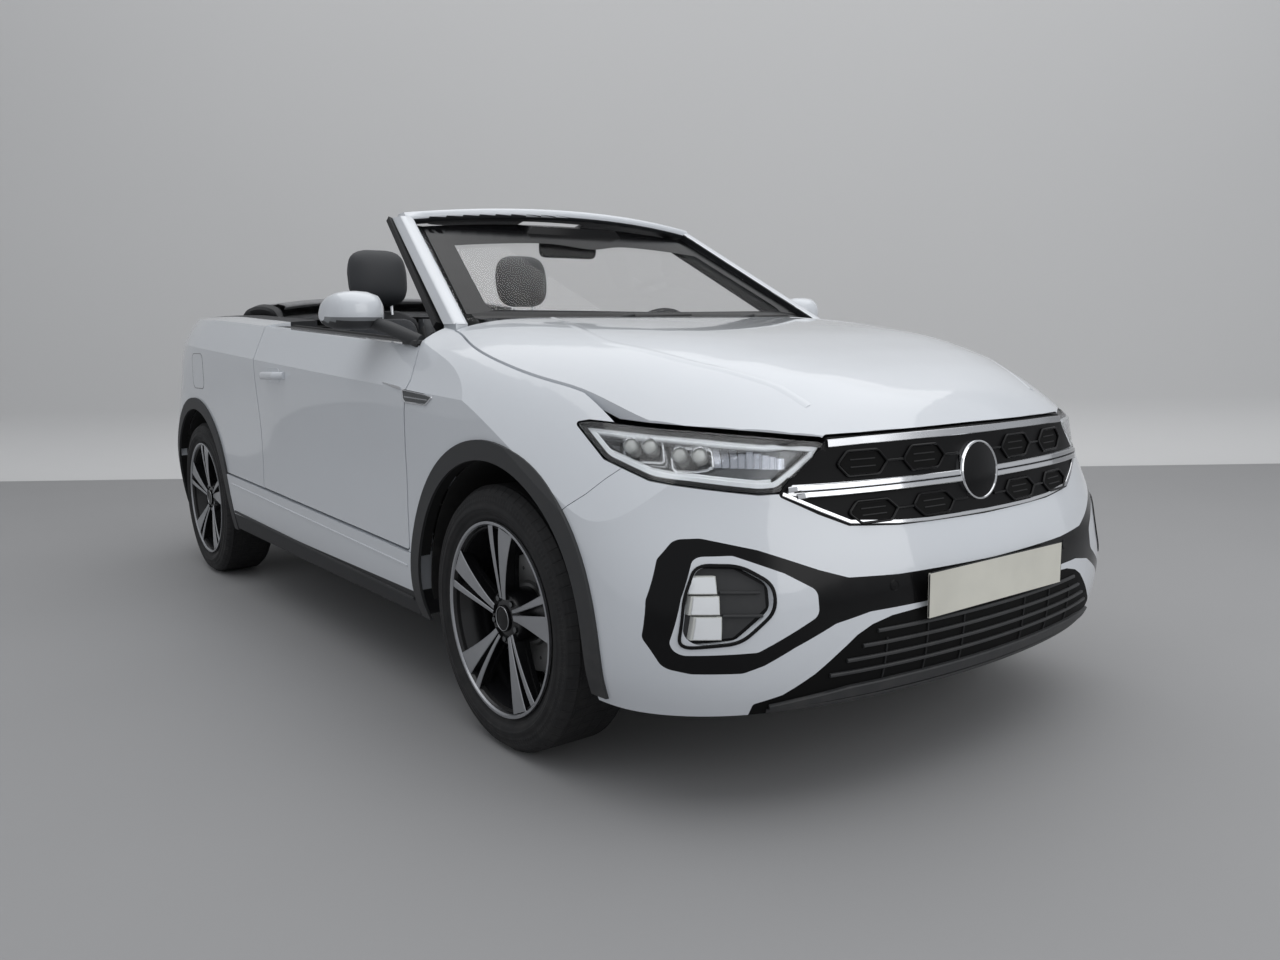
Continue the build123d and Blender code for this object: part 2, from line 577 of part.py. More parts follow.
with BuildPart() as pillar:
    add(pillar_section(PILLAR_BASE))
    add(pillar_section(PILLAR_TOP))
    loft()
    foot_front, foot_rear = PILLAR_BASE[0] + PILLAR_LENGTH / 2, PILLAR_BASE[0] - PILLAR_LENGTH / 2
    add(side_prism([(foot_front - 4, PILLAR_BASE[2] + 3), (foot_front - 4, SHELF_Z + FIT),
                    (foot_rear + 40, SHELF_Z + FIT), (foot_rear + 40, SHELF_Z + 25), (foot_rear + 6, SHELF_Z + 45),
                    (foot_rear + 6, PILLAR_BASE[2] + 3)],
                   PILLAR_BASE[1] - 18, PILLAR_BASE[1] + 18))
with BuildPart() as header:
    with BuildLine() as header_path:
        ThreePointArc((PILLAR_TOP[0], -PILLAR_TOP[1], PILLAR_TOP[2]),
                      (PILLAR_TOP[0] + HEADER_BOW, 0, PILLAR_TOP[2] + HEADER_CROWN),
                      (PILLAR_TOP[0], PILLAR_TOP[1], PILLAR_TOP[2]))
    with BuildSketch(Plane(origin=header_path.line @ 0, x_dir=(1, 0, 0), z_dir=header_path.line % 0)):
        with Locations((-12, 4)):
            RectangleRounded(110, 36, 16)
    sweep(path=header_path.line)
screen_frame = join(both_sides(pillar.part), header.part)
save(screen_frame, "windscreen_frame")


def glass_section(x, half, z, bow):
    """Bowed strip of glass at one height."""
    with BuildSketch(Plane.XY.offset(z)) as strip:
        with BuildLine():
            ThreePointArc((x, -half), (x + bow, 0), (x, half))
            Line((x, half), (x - GLASS, half))
            ThreePointArc((x - GLASS, half), (x + bow - GLASS, 0), (x - GLASS, -half))
            Line((x - GLASS, -half), (x, -half))
        make_face()
    return strip.sketch


GLASS_FOOT = (PILLAR_BASE[0] - 7, PILLAR_BASE[1] - 27, PILLAR_BASE[2] + 10)
GLASS_TOP = (PILLAR_TOP[0] + 42, PILLAR_TOP[1] - 30, PILLAR_TOP[2] - 24)
with BuildPart() as screen:
    add(glass_section(*GLASS_FOOT, SCREEN_BOW))
    add(glass_section(*GLASS_TOP, HEADER_BOW))
    loft()
glass = keep(screen.part, screen_frame)
save(glass, "windscreen")

cowl_plan = [(995, -10), (980, 400), (948, 640), (856, 640), (890, 400), (905, -10)]
cowl = keep(join(plan_prism(cowl_plan, 1032, 1042), block(936, 946, -10, 560, SHELF_Z + FIT, 1034),
                 block(926, 940, -10, 40, 1034, GLASS_FOOT[2])),
            block(HOOD_HINGE_X - 16, HOOD_HINGE_X + 60, HOOD_HINGE_Y - 28, HOOD_HINGE_Y + 28, 990, 1100))
save(both_sides(cowl), "cowl_panel")


def door_mirror():
    """Left door mirror: rounded housing and the arm that stands on the door's belt."""
    foot_z = belt(800) - 1
    with BuildPart() as housing:
        for y, size in ((852, 0.70), (MIRROR_Y, 1.0), (MIRROR_TIP_Y, 0.84)):
            with BuildSketch(Plane(origin=(MIRROR_X, y, MIRROR_Z), x_dir=(1, 0, 0), z_dir=(0, -1, 0))):
                RectangleRounded(140 * size, 112 * size, 30 * size)
        loft()
    with BuildPart() as arm:
        with BuildSketch(Plane.XY.offset(foot_z - 10)):
            with Locations((800, 824)):
                RectangleRounded(70, 30, 10)
        with BuildSketch(Plane.XY.offset(MIRROR_Z - 40)):
            with Locations((MIRROR_X + 30, 880)):
                RectangleRounded(70, 40, 10)
        loft()
    below_belt = side_prism([(900, belt(900) - 1 + FIT), (900, 900), (500, 900), (500, belt(500) - 1 + FIT)],
                            700, 1000)
    return join(housing.part, keep(arm.part, below_belt))


left_mirror = door_mirror()
save(left_mirror, "mirror_left")
save(left_mirror.mirror(Plane.XZ), "mirror_right")

# ---------------------------------------------------------------- structure below and inside
TUNNEL_HALF = 110.0
TUNNEL_TOP = 330.0
TUNNEL_REAR_X = -590.0
FLOOR_TOP = FLOOR_Z + FLOOR_THICKNESS
FLOOR_HALF = 700.0
FIREWALL_X = 955.0
BULKHEAD_X = -1180.0
BOOT_FLOOR_Z = 380.0
LINER_INNER_Y = 480.0
STRUT_Y = 560.0
TOWER_Z = 745.0
BEAM_Y = 400.0                # inner face of the two long beams beside the engine
BEAM_Z = 430.0
ROOF_PACK_Z = 1060.0          # where the folded roof lies
JACK_X = (780.0, -800.0)
JACK_Y = 640.0

with BuildPart() as floor:
    add(block(-1400, FIREWALL_X - FIT, -FLOOR_HALF, FLOOR_HALF, FLOOR_Z, FLOOR_TOP))
    add(block(TUNNEL_REAR_X, FIREWALL_X - FIT, -TUNNEL_HALF, TUNNEL_HALF, FLOOR_Z, TUNNEL_TOP))
    add(both_sides(block(-840, 840, FLOOR_HALF - 10, FLOOR_HALF + 60, FLOOR_Z, FLOOR_TOP + 60)))
    for x in JACK_X:
        add(both_sides(block(x - 50, x + 50, JACK_Y - 30, JACK_Y + 30, FLOOR_Z - 10, FLOOR_Z)))
    add(block(TUNNEL_REAR_X - 1, FIREWALL_X + 1, -TUNNEL_HALF + 25, TUNNEL_HALF - 25, FLOOR_Z - 1, TUNNEL_TOP - 25),
        mode=Mode.SUBTRACT)
    for cutter in (behind_front_liner, behind_rear_liner, sill):
        add(both_sides(cutter), mode=Mode.SUBTRACT)
save(floor.part, "floor_pan")


def nose_rib(y, low, high, back):
    """Upright rib from the cross beam out to the back of the panels ahead of it."""
    return keep(block(1950, THROUGH, y - 15, y + 15, low, high), within=[back])


hinge_ear = join(block(HOOD_HINGE_X - 12, HOOD_HINGE_X + 12, 0, 10, SHELF_Z - 5, HOOD_HINGE_Z),
                 axle_cylinder(HOOD_HINGE_X, HOOD_HINGE_Z, 11, 0, 10))
with BuildPart() as front_half:
    add(block(FIREWALL_X, FIREWALL_X + 30, -10, 690, FLOOR_Z, 900))
    add(block(FIREWALL_X, FIREWALL_X + 12, -10, 690, 900, SHELF_Z))
    add(block(HOOD_HINGE_X - 16, FIREWALL_X + 12, -10, 690, SHELF_Z - 15, SHELF_Z))
    for y in (HOOD_HINGE_Y - STRAP / 2 - 12, HOOD_HINGE_Y + STRAP / 2 + 2):
        add(hinge_ear.moved(Location((0, y, 0))))
    add(axle_cylinder(HOOD_HINGE_X, HOOD_HINGE_Z, PIN_RADIUS, HOOD_HINGE_Y - 20, HOOD_HINGE_Y + 20))
    add(side_prism([(866, FLOOR_TOP + FIT), (890, FLOOR_TOP + FIT), (890, 470), (960, 720), (FIREWALL_X + 30, 800),
                    (FIREWALL_X + 30, SHELF_Z), (866, SHELF_Z)], 685, 745))
    add(door_hinges())
    add(block(FIREWALL_X + 30, 1960, BEAM_Y, BEAM_Y + 60, BEAM_Z, 520))
    add(block(1940, 1980, -10, 600, 300, 520))
    add(block(1210, 1390, BEAM_Y, 640, TOWER_Z, 800))
    add(block(1210, 1390, BEAM_Y, 440, 520, TOWER_Z))
    add(keep(block(1390, 1900, 600, 640, TOWER_Z, 775), within=[skin(LAMP_DEPTH + FIT)]))
    add(nose_rib(300, 240, 600, skin(PANEL + FIT)))
    add(nose_rib(300, 600, 780, skin(GRILLE_DEPTH + FIT)))
    add(behind_front_liner, mode=Mode.SUBTRACT)
save(both_sides(keep(front_half.part, block(-3000, 3000, -100, 0, 0, 3000))), "front_structure")

with BuildPart() as tub_half:
    add(block(-2000, BULKHEAD_X, -10, LINER_INNER_Y - 5, BOOT_FLOOR_Z, BOOT_FLOOR_Z + 20))
    add(block(-1960, BULKHEAD_X, LINER_INNER_Y - 25, LINER_INNER_Y - 5, BOOT_FLOOR_Z, 900))
    add(block(BULKHEAD_X - 20, BULKHEAD_X, -10, 620, FLOOR_TOP + FIT, ROOF_PACK_Z - FIT))
    add(block(REAR_BEAM_X, REAR_BEAM_X + 20, -10, 570, 300, 690))
    add(keep(block(-THROUGH, -1990, 285, 315, 400, 640), within=[skin(PANEL + FIT)]))
    add(behind_rear_liner, mode=Mode.SUBTRACT)
save(both_sides(keep(tub_half.part, block(-3000, 3000, -100, 0, 0, 3000))), "rear_structure")

# ---------------------------------------------------------------- cabin
SEAT_Y = 340.0
STEER_WHEEL_X = 400.0
STEER_WHEEL_Z = 955.0
STEER_RAKE = 25.0
SEAT_FOOT_Z = FLOOR_TOP + FIT
CONSOLE_FOOT_Z = TUNNEL_TOP + FIT

steering_place = Location((STEER_WHEEL_X, SEAT_Y, STEER_WHEEL_Z), (0, -90 + STEER_RAKE, 0)) * Location(
    (0, 0, 0), (0, 0, 90))
with BuildPart() as shroud:
    with BuildSketch(Plane.XY.offset(-89 - FIT)):
        Circle(34)
    extrude(amount=-110)
dash_profile = [(470, 760), (520, 1000), (620, 1050), (850, 1020), (880, 975), (FIREWALL_X - FIT, 975),
                (FIREWALL_X - FIT, 700), (600, 640)]
save(join(side_prism(dash_profile, -680, 680, 18), steering_place * shroud.part), "dashboard")
save(side_prism([(-250, CONSOLE_FOOT_Z), (-250, 520), (150, 540), (430, 640), (560, 620), (580, CONSOLE_FOOT_Z)],
                -100, 100), "centre_console")


def front_seat(y):
    """One front seat with its runners: cushion, raked back and head restraint."""
    cushion = [(-420, SEAT_FOOT_Z), (-400, 470), (60, 520), (100, 470), (60, SEAT_FOOT_Z)]
    backrest = [(-300, 470), (-430, 430), (-600, 1080), (-560, 1180), (-490, 1170)]
    restraint = [(-600, 1210), (-620, 1370), (-570, 1395), (-510, 1380), (-520, 1220)]
    post = [(-560, 1150), (-575, 1230), (-545, 1230), (-530, 1150)]
    return join(side_prism(cushion, y - 225, y + 260), side_prism(backrest, y - 235, y + 250),
                side_prism(restraint, y - 135, y + 135), side_prism(post, y - 60, y + 60))


save(both_sides(front_seat(SEAT_Y)), "front_seats")

with BuildPart() as bench:
    add(side_prism([(-1100, SEAT_FOOT_Z), (-1100, 500), (-640, 540), (-600, 500), (-620, SEAT_FOOT_Z)], -560, 560))
    add(side_prism([(-980, 500), (-1080, 500), (-1170, 1020), (-1090, 1040)], -560, 560))
    add(both_sides(arch_cutter(REAR_AXLE_X, LINER_OUTER + 4)), mode=Mode.SUBTRACT)
save(bench.part, "rear_seat")

save(side_prism([(-1545, ROOF_PACK_Z), (-1550, 1160), (-1500, 1205), (-1250, 1218), (-1010, 1200), (-1000, 1100),
                 (-1160, ROOF_PACK_Z)], -610, 610, 20), "soft_top")

with BuildPart() as steering_wheel:
    with BuildSketch(Plane.XZ):
        with Locations((178, 0)):
            Circle(16)
    revolve(axis=Axis.Z)
    with BuildSketch(Plane.XY):
        Circle(62)
        Rectangle(340, 34)
        with Locations((0, -85)):
            Rectangle(60, 170)
    extrude(amount=14, both=True)
    with BuildSketch(Plane.XY.offset(-14)):
        Circle(26)
    extrude(amount=-75)
save(steering_place * steering_wheel.part, "steering_wheel")

inner_mirror = join(plan_prism([(330, -110), (370, -110), (382, 0), (370, 110), (330, 110)], 1320, 1378),
                    keep(block(350, 470, -14, 14, 1350, 1366), screen.part, block(200, 300, -50, 50, 1300, 1400),
                         screen.part.moved(Location((-FIT * 2, 0, 0))),
                         within=[side_prism([(340, 1300), (470, 1300), (410, 1390), (340, 1390)], -50, 50)]))
save(inner_mirror, "interior_mirror")

# ---------------------------------------------------------------- running gear
HUB_Z = TYRE_RADIUS
DISC_INNER_Y = 745.0
SPINDLE_RADIUS = 40.0
BEAD_Y = 89.0                 # where the tyre's beads sit against the rim's flanges, from the wheel's middle
BEAD_STEP = 8.0               # height of the flat that each bead sits against

save(join(block(1060, 1640, -370, 370, 300, 860),
          both_sides(block(1280, 1360, 360, BEAM_Y - FIT, BEAM_Z + 20, BEAM_Z + 70))), "engine_block")
with BuildPart() as subframe:
    add(block(1120, 1480, -350, 350, 200, 240))
    for side in (-1, 1):
        add(plan_prism([(1180, side * 340), (1420, side * 340), (FRONT_AXLE_X + 25, side * 690),
                        (FRONT_AXLE_X + STEER_BOSS, side * STEER_Y), (FRONT_AXLE_X - STEER_BOSS, side * STEER_Y),
                        (FRONT_AXLE_X - 25, side * 690)], 205, HUB_Z - 100 - FIT))
        add(upright_cylinder(FRONT_AXLE_X, side * STEER_Y, STEER_BOSS, 205, HUB_Z - 100 - FIT))
        add(upright_cylinder(FRONT_AXLE_X, side * STRUT_Y, 46, 680, TOWER_Z))
    add(both_sides(block(1130, 1170, 300, BEAM_Y + 55, 205, 240)))
    add(both_sides(block(1130, 1170, BEAM_Y + 15, BEAM_Y + 45, 205, BEAM_Z - FIT)))
    add(both_sides(upright_cylinder(FRONT_AXLE_X, STEER_Y, STEER_PIN + FIT, 200, HUB_Z)), mode=Mode.SUBTRACT)
save(subframe.part, "front_subframe")

with BuildPart() as rear_axle:
    add(axle_cylinder(REAR_AXLE_X + 60, 300, 42, -700, 700))
    add(both_sides(block(REAR_AXLE_X - 50, REAR_AXLE_X + 110, 655, 700, 250, 400)))
    add(both_sides(axle_cylinder(REAR_AXLE_X, HUB_Z, SPINDLE_RADIUS, 690, DISC_INNER_Y - FIT)))
    add(both_sides(block(REAR_AXLE_X + 40, REAR_AXLE_X + 80, 300, 330, FLOOR_TOP + FIT, 270)))
save(rear_axle.part, "rear_axle_beam")

with BuildPart() as pipe:
    with BuildLine() as run:
        FilletPolyline((900, 0, 240), (-300, 0, 240), (-530, 0, 176), (-1440, 0, 176), (-1620, -300, 230),
                       (-1750, -300, 270), radius=60)
    with BuildSketch(Plane(origin=run.line @ 0, z_dir=run.line % 0)):
        Circle(28)
    sweep()
    add(block(-1940, -1745, -480, -120, 240, 330))
    add(block(-710, -690, -10, 10, 190, FLOOR_Z - FIT))
save(pipe.part, "exhaust")
save(block(-1150, -760, 45, 470, 140, FLOOR_Z - FIT), "fuel_tank")


def knuckle_half():
    """Left front knuckle with its brake caliper."""
    return join(block(FRONT_AXLE_X - 45, FRONT_AXLE_X + 45, 690, 742, HUB_Z - 100, HUB_Z + 100),
                block(FRONT_AXLE_X - 165, FRONT_AXLE_X - 85, 715, 742, HUB_Z - 60, HUB_Z + 80),
                block(FRONT_AXLE_X - 100, FRONT_AXLE_X, 715, 742, HUB_Z - 30, HUB_Z + 30),
                upright_cylinder(FRONT_AXLE_X, STEER_Y, STEER_PIN, 208, HUB_Z - 90),
                axle_cylinder(FRONT_AXLE_X, HUB_Z, SPINDLE_RADIUS, 740, DISC_INNER_Y - FIT))


left_knuckle = knuckle_half()
save(left_knuckle, "knuckle_left")
save(left_knuckle.mirror(Plane.XZ), "knuckle_right")


def wheel(hub_x):
    """Left-hand rim with spokes, hub and brake disc."""
    spin_axis = Axis((hub_x, 0, HUB_Z), (0, 1, 0))
    seat = HUB_Z + RIM_RADIUS - 0.6
    lip = HUB_Z + RIM_RADIUS + RIM_FLANGE
    with BuildPart() as rim:
        with BuildSketch(Plane.YZ.offset(hub_x)):
            with BuildLine():
                outer_y, inner_y = WHEEL_Y + BEAD_Y + 12, WHEEL_Y - BEAD_Y - 12
                Polyline((inner_y, lip), (inner_y + 7, lip), (inner_y + 12, seat + BEAD_STEP), (inner_y + 12, seat),
                         (outer_y - 12, seat), (outer_y - 12, seat + BEAD_STEP), (outer_y - 7, lip), (outer_y, lip),
                         (outer_y, lip - 8), (outer_y - 8, seat - 8), (inner_y + 8, seat - 8), (inner_y, lip - 8),
                         close=True)
            make_face()
        revolve(axis=spin_axis)
        with BuildSketch(Plane(origin=(hub_x, WHEEL_Y + 88, HUB_Z), x_dir=(1, 0, 0), z_dir=(0, -1, 0))):
            Circle(72)
            with PolarLocations(0, 5):
                with Locations((130, 22)):
                    Rectangle(200, 26)
                with Locations((130, -22)):
                    Rectangle(200, 26)
            Circle(seat - HUB_Z - 4, mode=Mode.INTERSECT)
        extrude(amount=22)
        add(axle_cylinder(hub_x, HUB_Z, 60, DISC_INNER_Y + 15, WHEEL_Y + 70))
        add(axle_cylinder(hub_x, HUB_Z, 150, DISC_INNER_Y, DISC_INNER_Y + 22))
    return rim.part


def tyre(hub_x):
    """Left-hand tyre."""
    half = TYRE_WIDTH / 2
    base = HUB_Z + RIM_RADIUS + 0.5
    tread = HUB_Z + TYRE_RADIUS
    wall = [(BEAD_Y, base), (BEAD_Y, base + BEAD_STEP + 2), (half - 14, base + 24), (half, base + 50),
            (half - 10, base + 90), (half - 32, tread)]
    with BuildPart() as ring:
        with BuildSketch(Plane.YZ.offset(hub_x)):
            with BuildLine():
                Polyline(*[(WHEEL_Y + y, z) for y, z in wall], *[(WHEEL_Y - y, z) for y, z in wall[::-1]],
                         close=True)
            make_face()
        revolve(axis=Axis((hub_x, 0, HUB_Z), (0, 1, 0)))
    return ring.part


for place, hub_x in (("front", FRONT_AXLE_X), ("rear", REAR_AXLE_X)):
    left_rim = wheel(hub_x)
    left_tyre = tyre(hub_x)
    save(left_rim, f"rim_{place}_left")
    save(left_tyre, f"tyre_{place}_left")
    save(left_rim.mirror(Plane.XZ), f"rim_{place}_right")
    save(left_tyre.mirror(Plane.XZ), f"tyre_{place}_right")
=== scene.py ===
"""Look of an open two-door compact SUV with its fabric roof folded, built round its CAD solids."""

import math

import bmesh
import bpy
from bpy.props import FloatProperty, FloatVectorProperty, IntProperty, PointerProperty
from mathutils import Matrix, Vector
from mathutils.bvhtree import BVHTree
from mathutils.geometry import delaunay_2d_cdt


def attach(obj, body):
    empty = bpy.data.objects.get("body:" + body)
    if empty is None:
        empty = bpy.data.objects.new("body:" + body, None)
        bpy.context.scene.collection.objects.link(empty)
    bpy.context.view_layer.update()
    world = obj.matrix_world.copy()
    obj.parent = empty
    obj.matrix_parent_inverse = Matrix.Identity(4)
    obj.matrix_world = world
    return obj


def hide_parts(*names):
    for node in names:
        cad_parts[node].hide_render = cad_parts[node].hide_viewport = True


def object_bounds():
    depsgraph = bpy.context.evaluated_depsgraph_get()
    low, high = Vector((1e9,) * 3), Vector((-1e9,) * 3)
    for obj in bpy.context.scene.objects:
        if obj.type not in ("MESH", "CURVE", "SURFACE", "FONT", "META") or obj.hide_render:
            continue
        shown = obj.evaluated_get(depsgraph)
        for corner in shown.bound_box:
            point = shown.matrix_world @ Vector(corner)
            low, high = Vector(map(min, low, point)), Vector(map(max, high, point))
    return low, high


bl_info = {
    "name": "Open Compact SUV",
    "version": (1, 0, 0),
    "blender": (4, 5, 0),
    "location": "View3D > Sidebar > Compact SUV",
    "description": "Builds the lamps, wheels, trim, cabin and finishes of an open compact SUV",
    "category": "Object",
}

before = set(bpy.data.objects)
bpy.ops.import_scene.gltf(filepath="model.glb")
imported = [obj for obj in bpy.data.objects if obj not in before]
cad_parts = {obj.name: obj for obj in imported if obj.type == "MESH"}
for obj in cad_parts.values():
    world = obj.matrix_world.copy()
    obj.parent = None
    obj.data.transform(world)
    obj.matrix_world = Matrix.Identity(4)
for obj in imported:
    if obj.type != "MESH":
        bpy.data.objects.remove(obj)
CAD_BOX = [list(corner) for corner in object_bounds()]

X, Y, Z = Vector((1, 0, 0)), Vector((0, 1, 0)), Vector((0, 0, 1))
AXLES = {"front": 1.300, "rear": -1.330}
WHEEL_Y = 0.772
HUB_Z = 0.336
ARCH_RADIUS = 0.400
SIDES = {"left": 1, "right": -1}


# ---------------------------------------------------------------- sizes and colours a user may change
def size(name, default, description, low=0.0, high=2.0):
    """A length property in metres."""
    return FloatProperty(name=name, description=description, default=default, min=low, max=high,
                         unit="LENGTH", subtype="DISTANCE")


def share(name, default, description):
    """A property from 0 to 1."""
    return FloatProperty(name=name, description=description, default=default, min=0.0, max=1.0,
                         subtype="FACTOR")


def tint(name, default, description):
    """A colour property."""
    return FloatVectorProperty(name=name, description=description, default=default, min=0.0, max=1.0,
                               size=3, subtype="COLOR")


class SuvPaint(bpy.types.PropertyGroup):
    """Colours of the painted body and its trim."""

    body: tint("Body paint", (0.70, 0.73, 0.77), "Colour of the painted panels")
    cladding: tint("Cladding", (0.030, 0.031, 0.033), "Colour of the grained plastic round the wheels")
    cabin: tint("Cabin trim", (0.022, 0.023, 0.026), "Colour of the dashboard and door trim")
    gloss: share("Paint roughness", 0.30, "Roughness of the paint below its clear coat")


class SuvWheel(bpy.types.PropertyGroup):
    """Sizes of the wheels."""

    spokes: IntProperty(name="Spokes", description="Number of twin spokes", default=5, min=3, max=9)
    dish: size("Dish", 0.024, "How far the hub lies behind the rim's edge", high=0.06)
    spoke_depth: size("Spoke depth", 0.034, "Depth of a spoke behind its machined face", low=0.01, high=0.06)
    alloy: tint("Machined face", (0.42, 0.43, 0.45), "Colour of the machined spoke faces")


class SuvLamp(bpy.types.PropertyGroup):
    """Sizes of the headlamps."""

    cover: size("Cover", 0.003, "Thickness of the clear cover", low=0.001, high=0.01)
    bowl: size("Bowl depth", 0.046, "Depth of the dark bowl behind the cover", low=0.01, high=0.06)
    guide: size("Light guide", 0.013, "Width of the bright strip round the lamp", low=0.004, high=0.03)


class SuvGrille(bpy.types.PropertyGroup):
    """Sizes of the grille."""

    pitch: size("Cell pitch", 0.183, "Distance between two cells of the grille", low=0.05, high=0.2)
    link: size("Link width", 0.006, "Width of the bars round each cell", low=0.003, high=0.02)
    disc: size("Disc radius", 0.070, "Radius of the plain disc in the middle", low=0.03, high=0.09)


class SuvSeat(bpy.types.PropertyGroup):
    """Shape of the padding."""

    crown: size("Crown", 0.020, "How much the middle of a cushion stands up", high=0.05)
    channel: size("Channel depth", 0.006, "Depth of the sewn channels", high=0.02)
    cloth: tint("Cloth", (0.026, 0.028, 0.033), "Colour of the seat cloth")


class SuvStage(bpy.types.PropertyGroup):
    """Floor, backdrop and light."""

    floor: tint("Floor", (0.34, 0.34, 0.345), "Colour of the floor")
    wall: tint("Backdrop", (0.66, 0.66, 0.66), "Colour of the backdrop")
    key: FloatProperty(name="Overhead light", description="Power of the overhead light", default=420.0,
                       min=0.0)
    fill: FloatProperty(name="Front light", description="Power of the front light", default=90.0, min=0.0)


GROUPS = (("suv_paint", SuvPaint), ("suv_wheel", SuvWheel), ("suv_lamp", SuvLamp), ("suv_grille", SuvGrille),
          ("suv_seat", SuvSeat), ("suv_stage", SuvStage))


# ---------------------------------------------------------------- outlines
def turns(count):
    """Angles that divide a full turn evenly."""
    return [2 * math.pi * k / count for k in range(count)]


def mirrored(half):
    """A section from its right half, outermost point first."""
    return [(-a, b) for a, b in half] + half[::-1]


def signed_area(outline):
    """Area of a flat outline, positive where it runs anticlockwise."""
    return sum(a[0] * b[1] - b[0] * a[1] for a, b in zip(outline, outline[1:] + outline[:1])) / 2


def inset(outline, distance):
    """The outline moved inwards by a distance, corner by corner."""
    turn = 1 if signed_area(outline) > 0 else -1
    moved = []
    for i, here in enumerate(outline):
        before, after = Vector(outline[i - 1]), Vector(outline[(i + 1) % len(outline)])
        here = Vector(here)
        a, b = (here - before).normalized(), (after - here).normalized()
        normal = Vector((-a.y - b.y, a.x + b.x)) * turn
        normal.normalize()
        lean = max(0.35, normal.dot(Vector((-a.y, a.x)) * turn))
        moved.append(tuple(here + normal * distance / lean))
    return moved


def rounded(outline, radius, steps=4):
    """A closed outline with its corners rounded."""
    result = []
    for i, here in enumerate(outline):
        here = Vector(here)
        before, after = Vector(outline[i - 1]), Vector(outline[(i + 1) % len(outline)])
        start = here + (before - here).normalized() * min(radius, (before - here).length / 2.1)
        end = here + (after - here).normalized() * min(radius, (after - here).length / 2.1)
        for k in range(steps + 1):
            t = k / steps
            result.append(tuple(start * (1 - t) ** 2 + here * 2 * t * (1 - t) + end * t * t))
    return result


def spaced(points, step, closed=False):
    """Points along a line, at most a step apart, with every corner kept."""
    points = [Vector(p) for p in points]
    runs = list(zip(points, points[1:] + points[:1])) if closed else list(zip(points, points[1:]))
    result = []
    for a, b in runs:
        parts = max(1, math.ceil((b - a).length / step))
        result += [a.lerp(b, k / parts) for k in range(parts)]
    if not closed:
        result.append(points[-1])
    return result


def smooth_line(points, parts=8, closed=False):
    """Smooth curve through points."""
    points = [Vector(p) for p in points]
    count = len(points)
    result = []
    for i in range(count if closed else count - 1):
        p1, p2 = points[i], points[(i + 1) % count]
        p0 = points[i - 1] if closed or i else p1 * 2 - p2
        p3 = points[(i + 2) % count] if closed or i + 2 < count else p2 * 2 - p1
        for k in range(parts):
            t = k / parts
            result.append((p1 * 2 + (p2 - p0) * t + (p0 * 2 - p1 * 5 + p2 * 4 - p3) * t * t
                           + (p1 * 3 - p0 - p2 * 3 + p3) * t**3) / 2)
    if not closed:
        result.append(points[-1])
    return result


def rectangle(width, height, radius, steps=5, centre=(0, 0)):
    """Rounded rectangle round a centre."""
    cx, cy = centre
    w, h = width / 2, height / 2
    return rounded([(cx - w, cy - h), (cx + w, cy - h), (cx + w, cy + h), (cx - w, cy + h)], radius, steps)


def inside(point, outline):
    """Whether a flat point lies in an outline."""
    x, y = point
    odd = False
    for (ax, ay), (bx, by) in zip(outline, outline[1:] + outline[:1]):
        if (ay > y) != (by > y) and x < (bx - ax) * (y - ay) / (by - ay) + ax:
            odd = not odd
    return odd


# ---------------------------------------------------------------- casting lines on to the body
CAST_FROM = 4


class View:
    """A plane that outlines are drawn on, and the way they are cast on to the body."""

    def __init__(self, u, v, into, origin=(0, 0, 0)):
        self.u, self.v, self.into, self.origin = Vector(u), Vector(v), Vector(into), Vector(origin)

    def start(self, point):
        """Where the ray through a point of the plane starts."""
        return self.origin + self.u * point[0] + self.v * point[1] - self.into * CAST_FROM


def side_view(side):
    """Seen from one side: x and z."""
    return View(X, Z, (0, -side, 0))


def front_view(side=1):
    """Seen from the front: distance from the middle and z."""
    return View(Y * side, Z, -X)


def rear_view(side=1):
    """Seen from the back: distance from the middle and z."""
    return View(Y * side, Z, X)


def top_view(side=1):
    """Seen from above: x and distance from the middle."""
    return View(X, Y * side, -Z)


def lamp_view(side):
    """Seen squarely on the car's front corner."""
    return View((-0.55, 0.835 * side, 0), Z, (-0.835, -0.55 * side, 0), (1.8, 0.7 * side, 0))


TREES = {}


def surface_of(*names):
    """Search tree of some CAD nodes' surfaces."""
    if names not in TREES:
        points, faces = [], []
        for name in names:
            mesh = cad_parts[name].data
            base = len(points)
            points += [v.co.copy() for v in mesh.vertices]
            faces += [[base + i for i in face.vertices] for face in mesh.polygons]
        TREES[names] = BVHTree.FromPolygons(points, faces)
    return TREES[names]


def cast(tree, view, points):
    """Point and outward normal on the surface for each point of a view."""
    hits = [tree.ray_cast(view.start(p), view.into)[:2] for p in points]
    depths = [(hit - view.start(p)).dot(view.into) for (hit, _), p in zip(hits, points) if hit is not None]
    if not depths:
        raise RuntimeError("a line that should lie on the body misses it")
    depth = depths[0]
    result = []
    for (hit, normal), p in zip(hits, points):
        if hit is None:
            result.append((view.start(p) + view.into * depth, -view.into))
            continue
        depth = (hit - view.start(p)).dot(view.into)
        result.append((hit, normal if normal.dot(view.into) < 0 else -normal))
    return result


def evened(line, reach=2, closed=False):
    """A line of points and normals with its normals averaged over their neighbours."""
    count = len(line)
    result = []
    for i, (point, _) in enumerate(line):
        total = Vector()
        for k in range(i - reach, i + reach + 1):
            if closed or 0 <= k < count:
                total += line[k % count][1]
        result.append((point, total.normalized()))
    return result


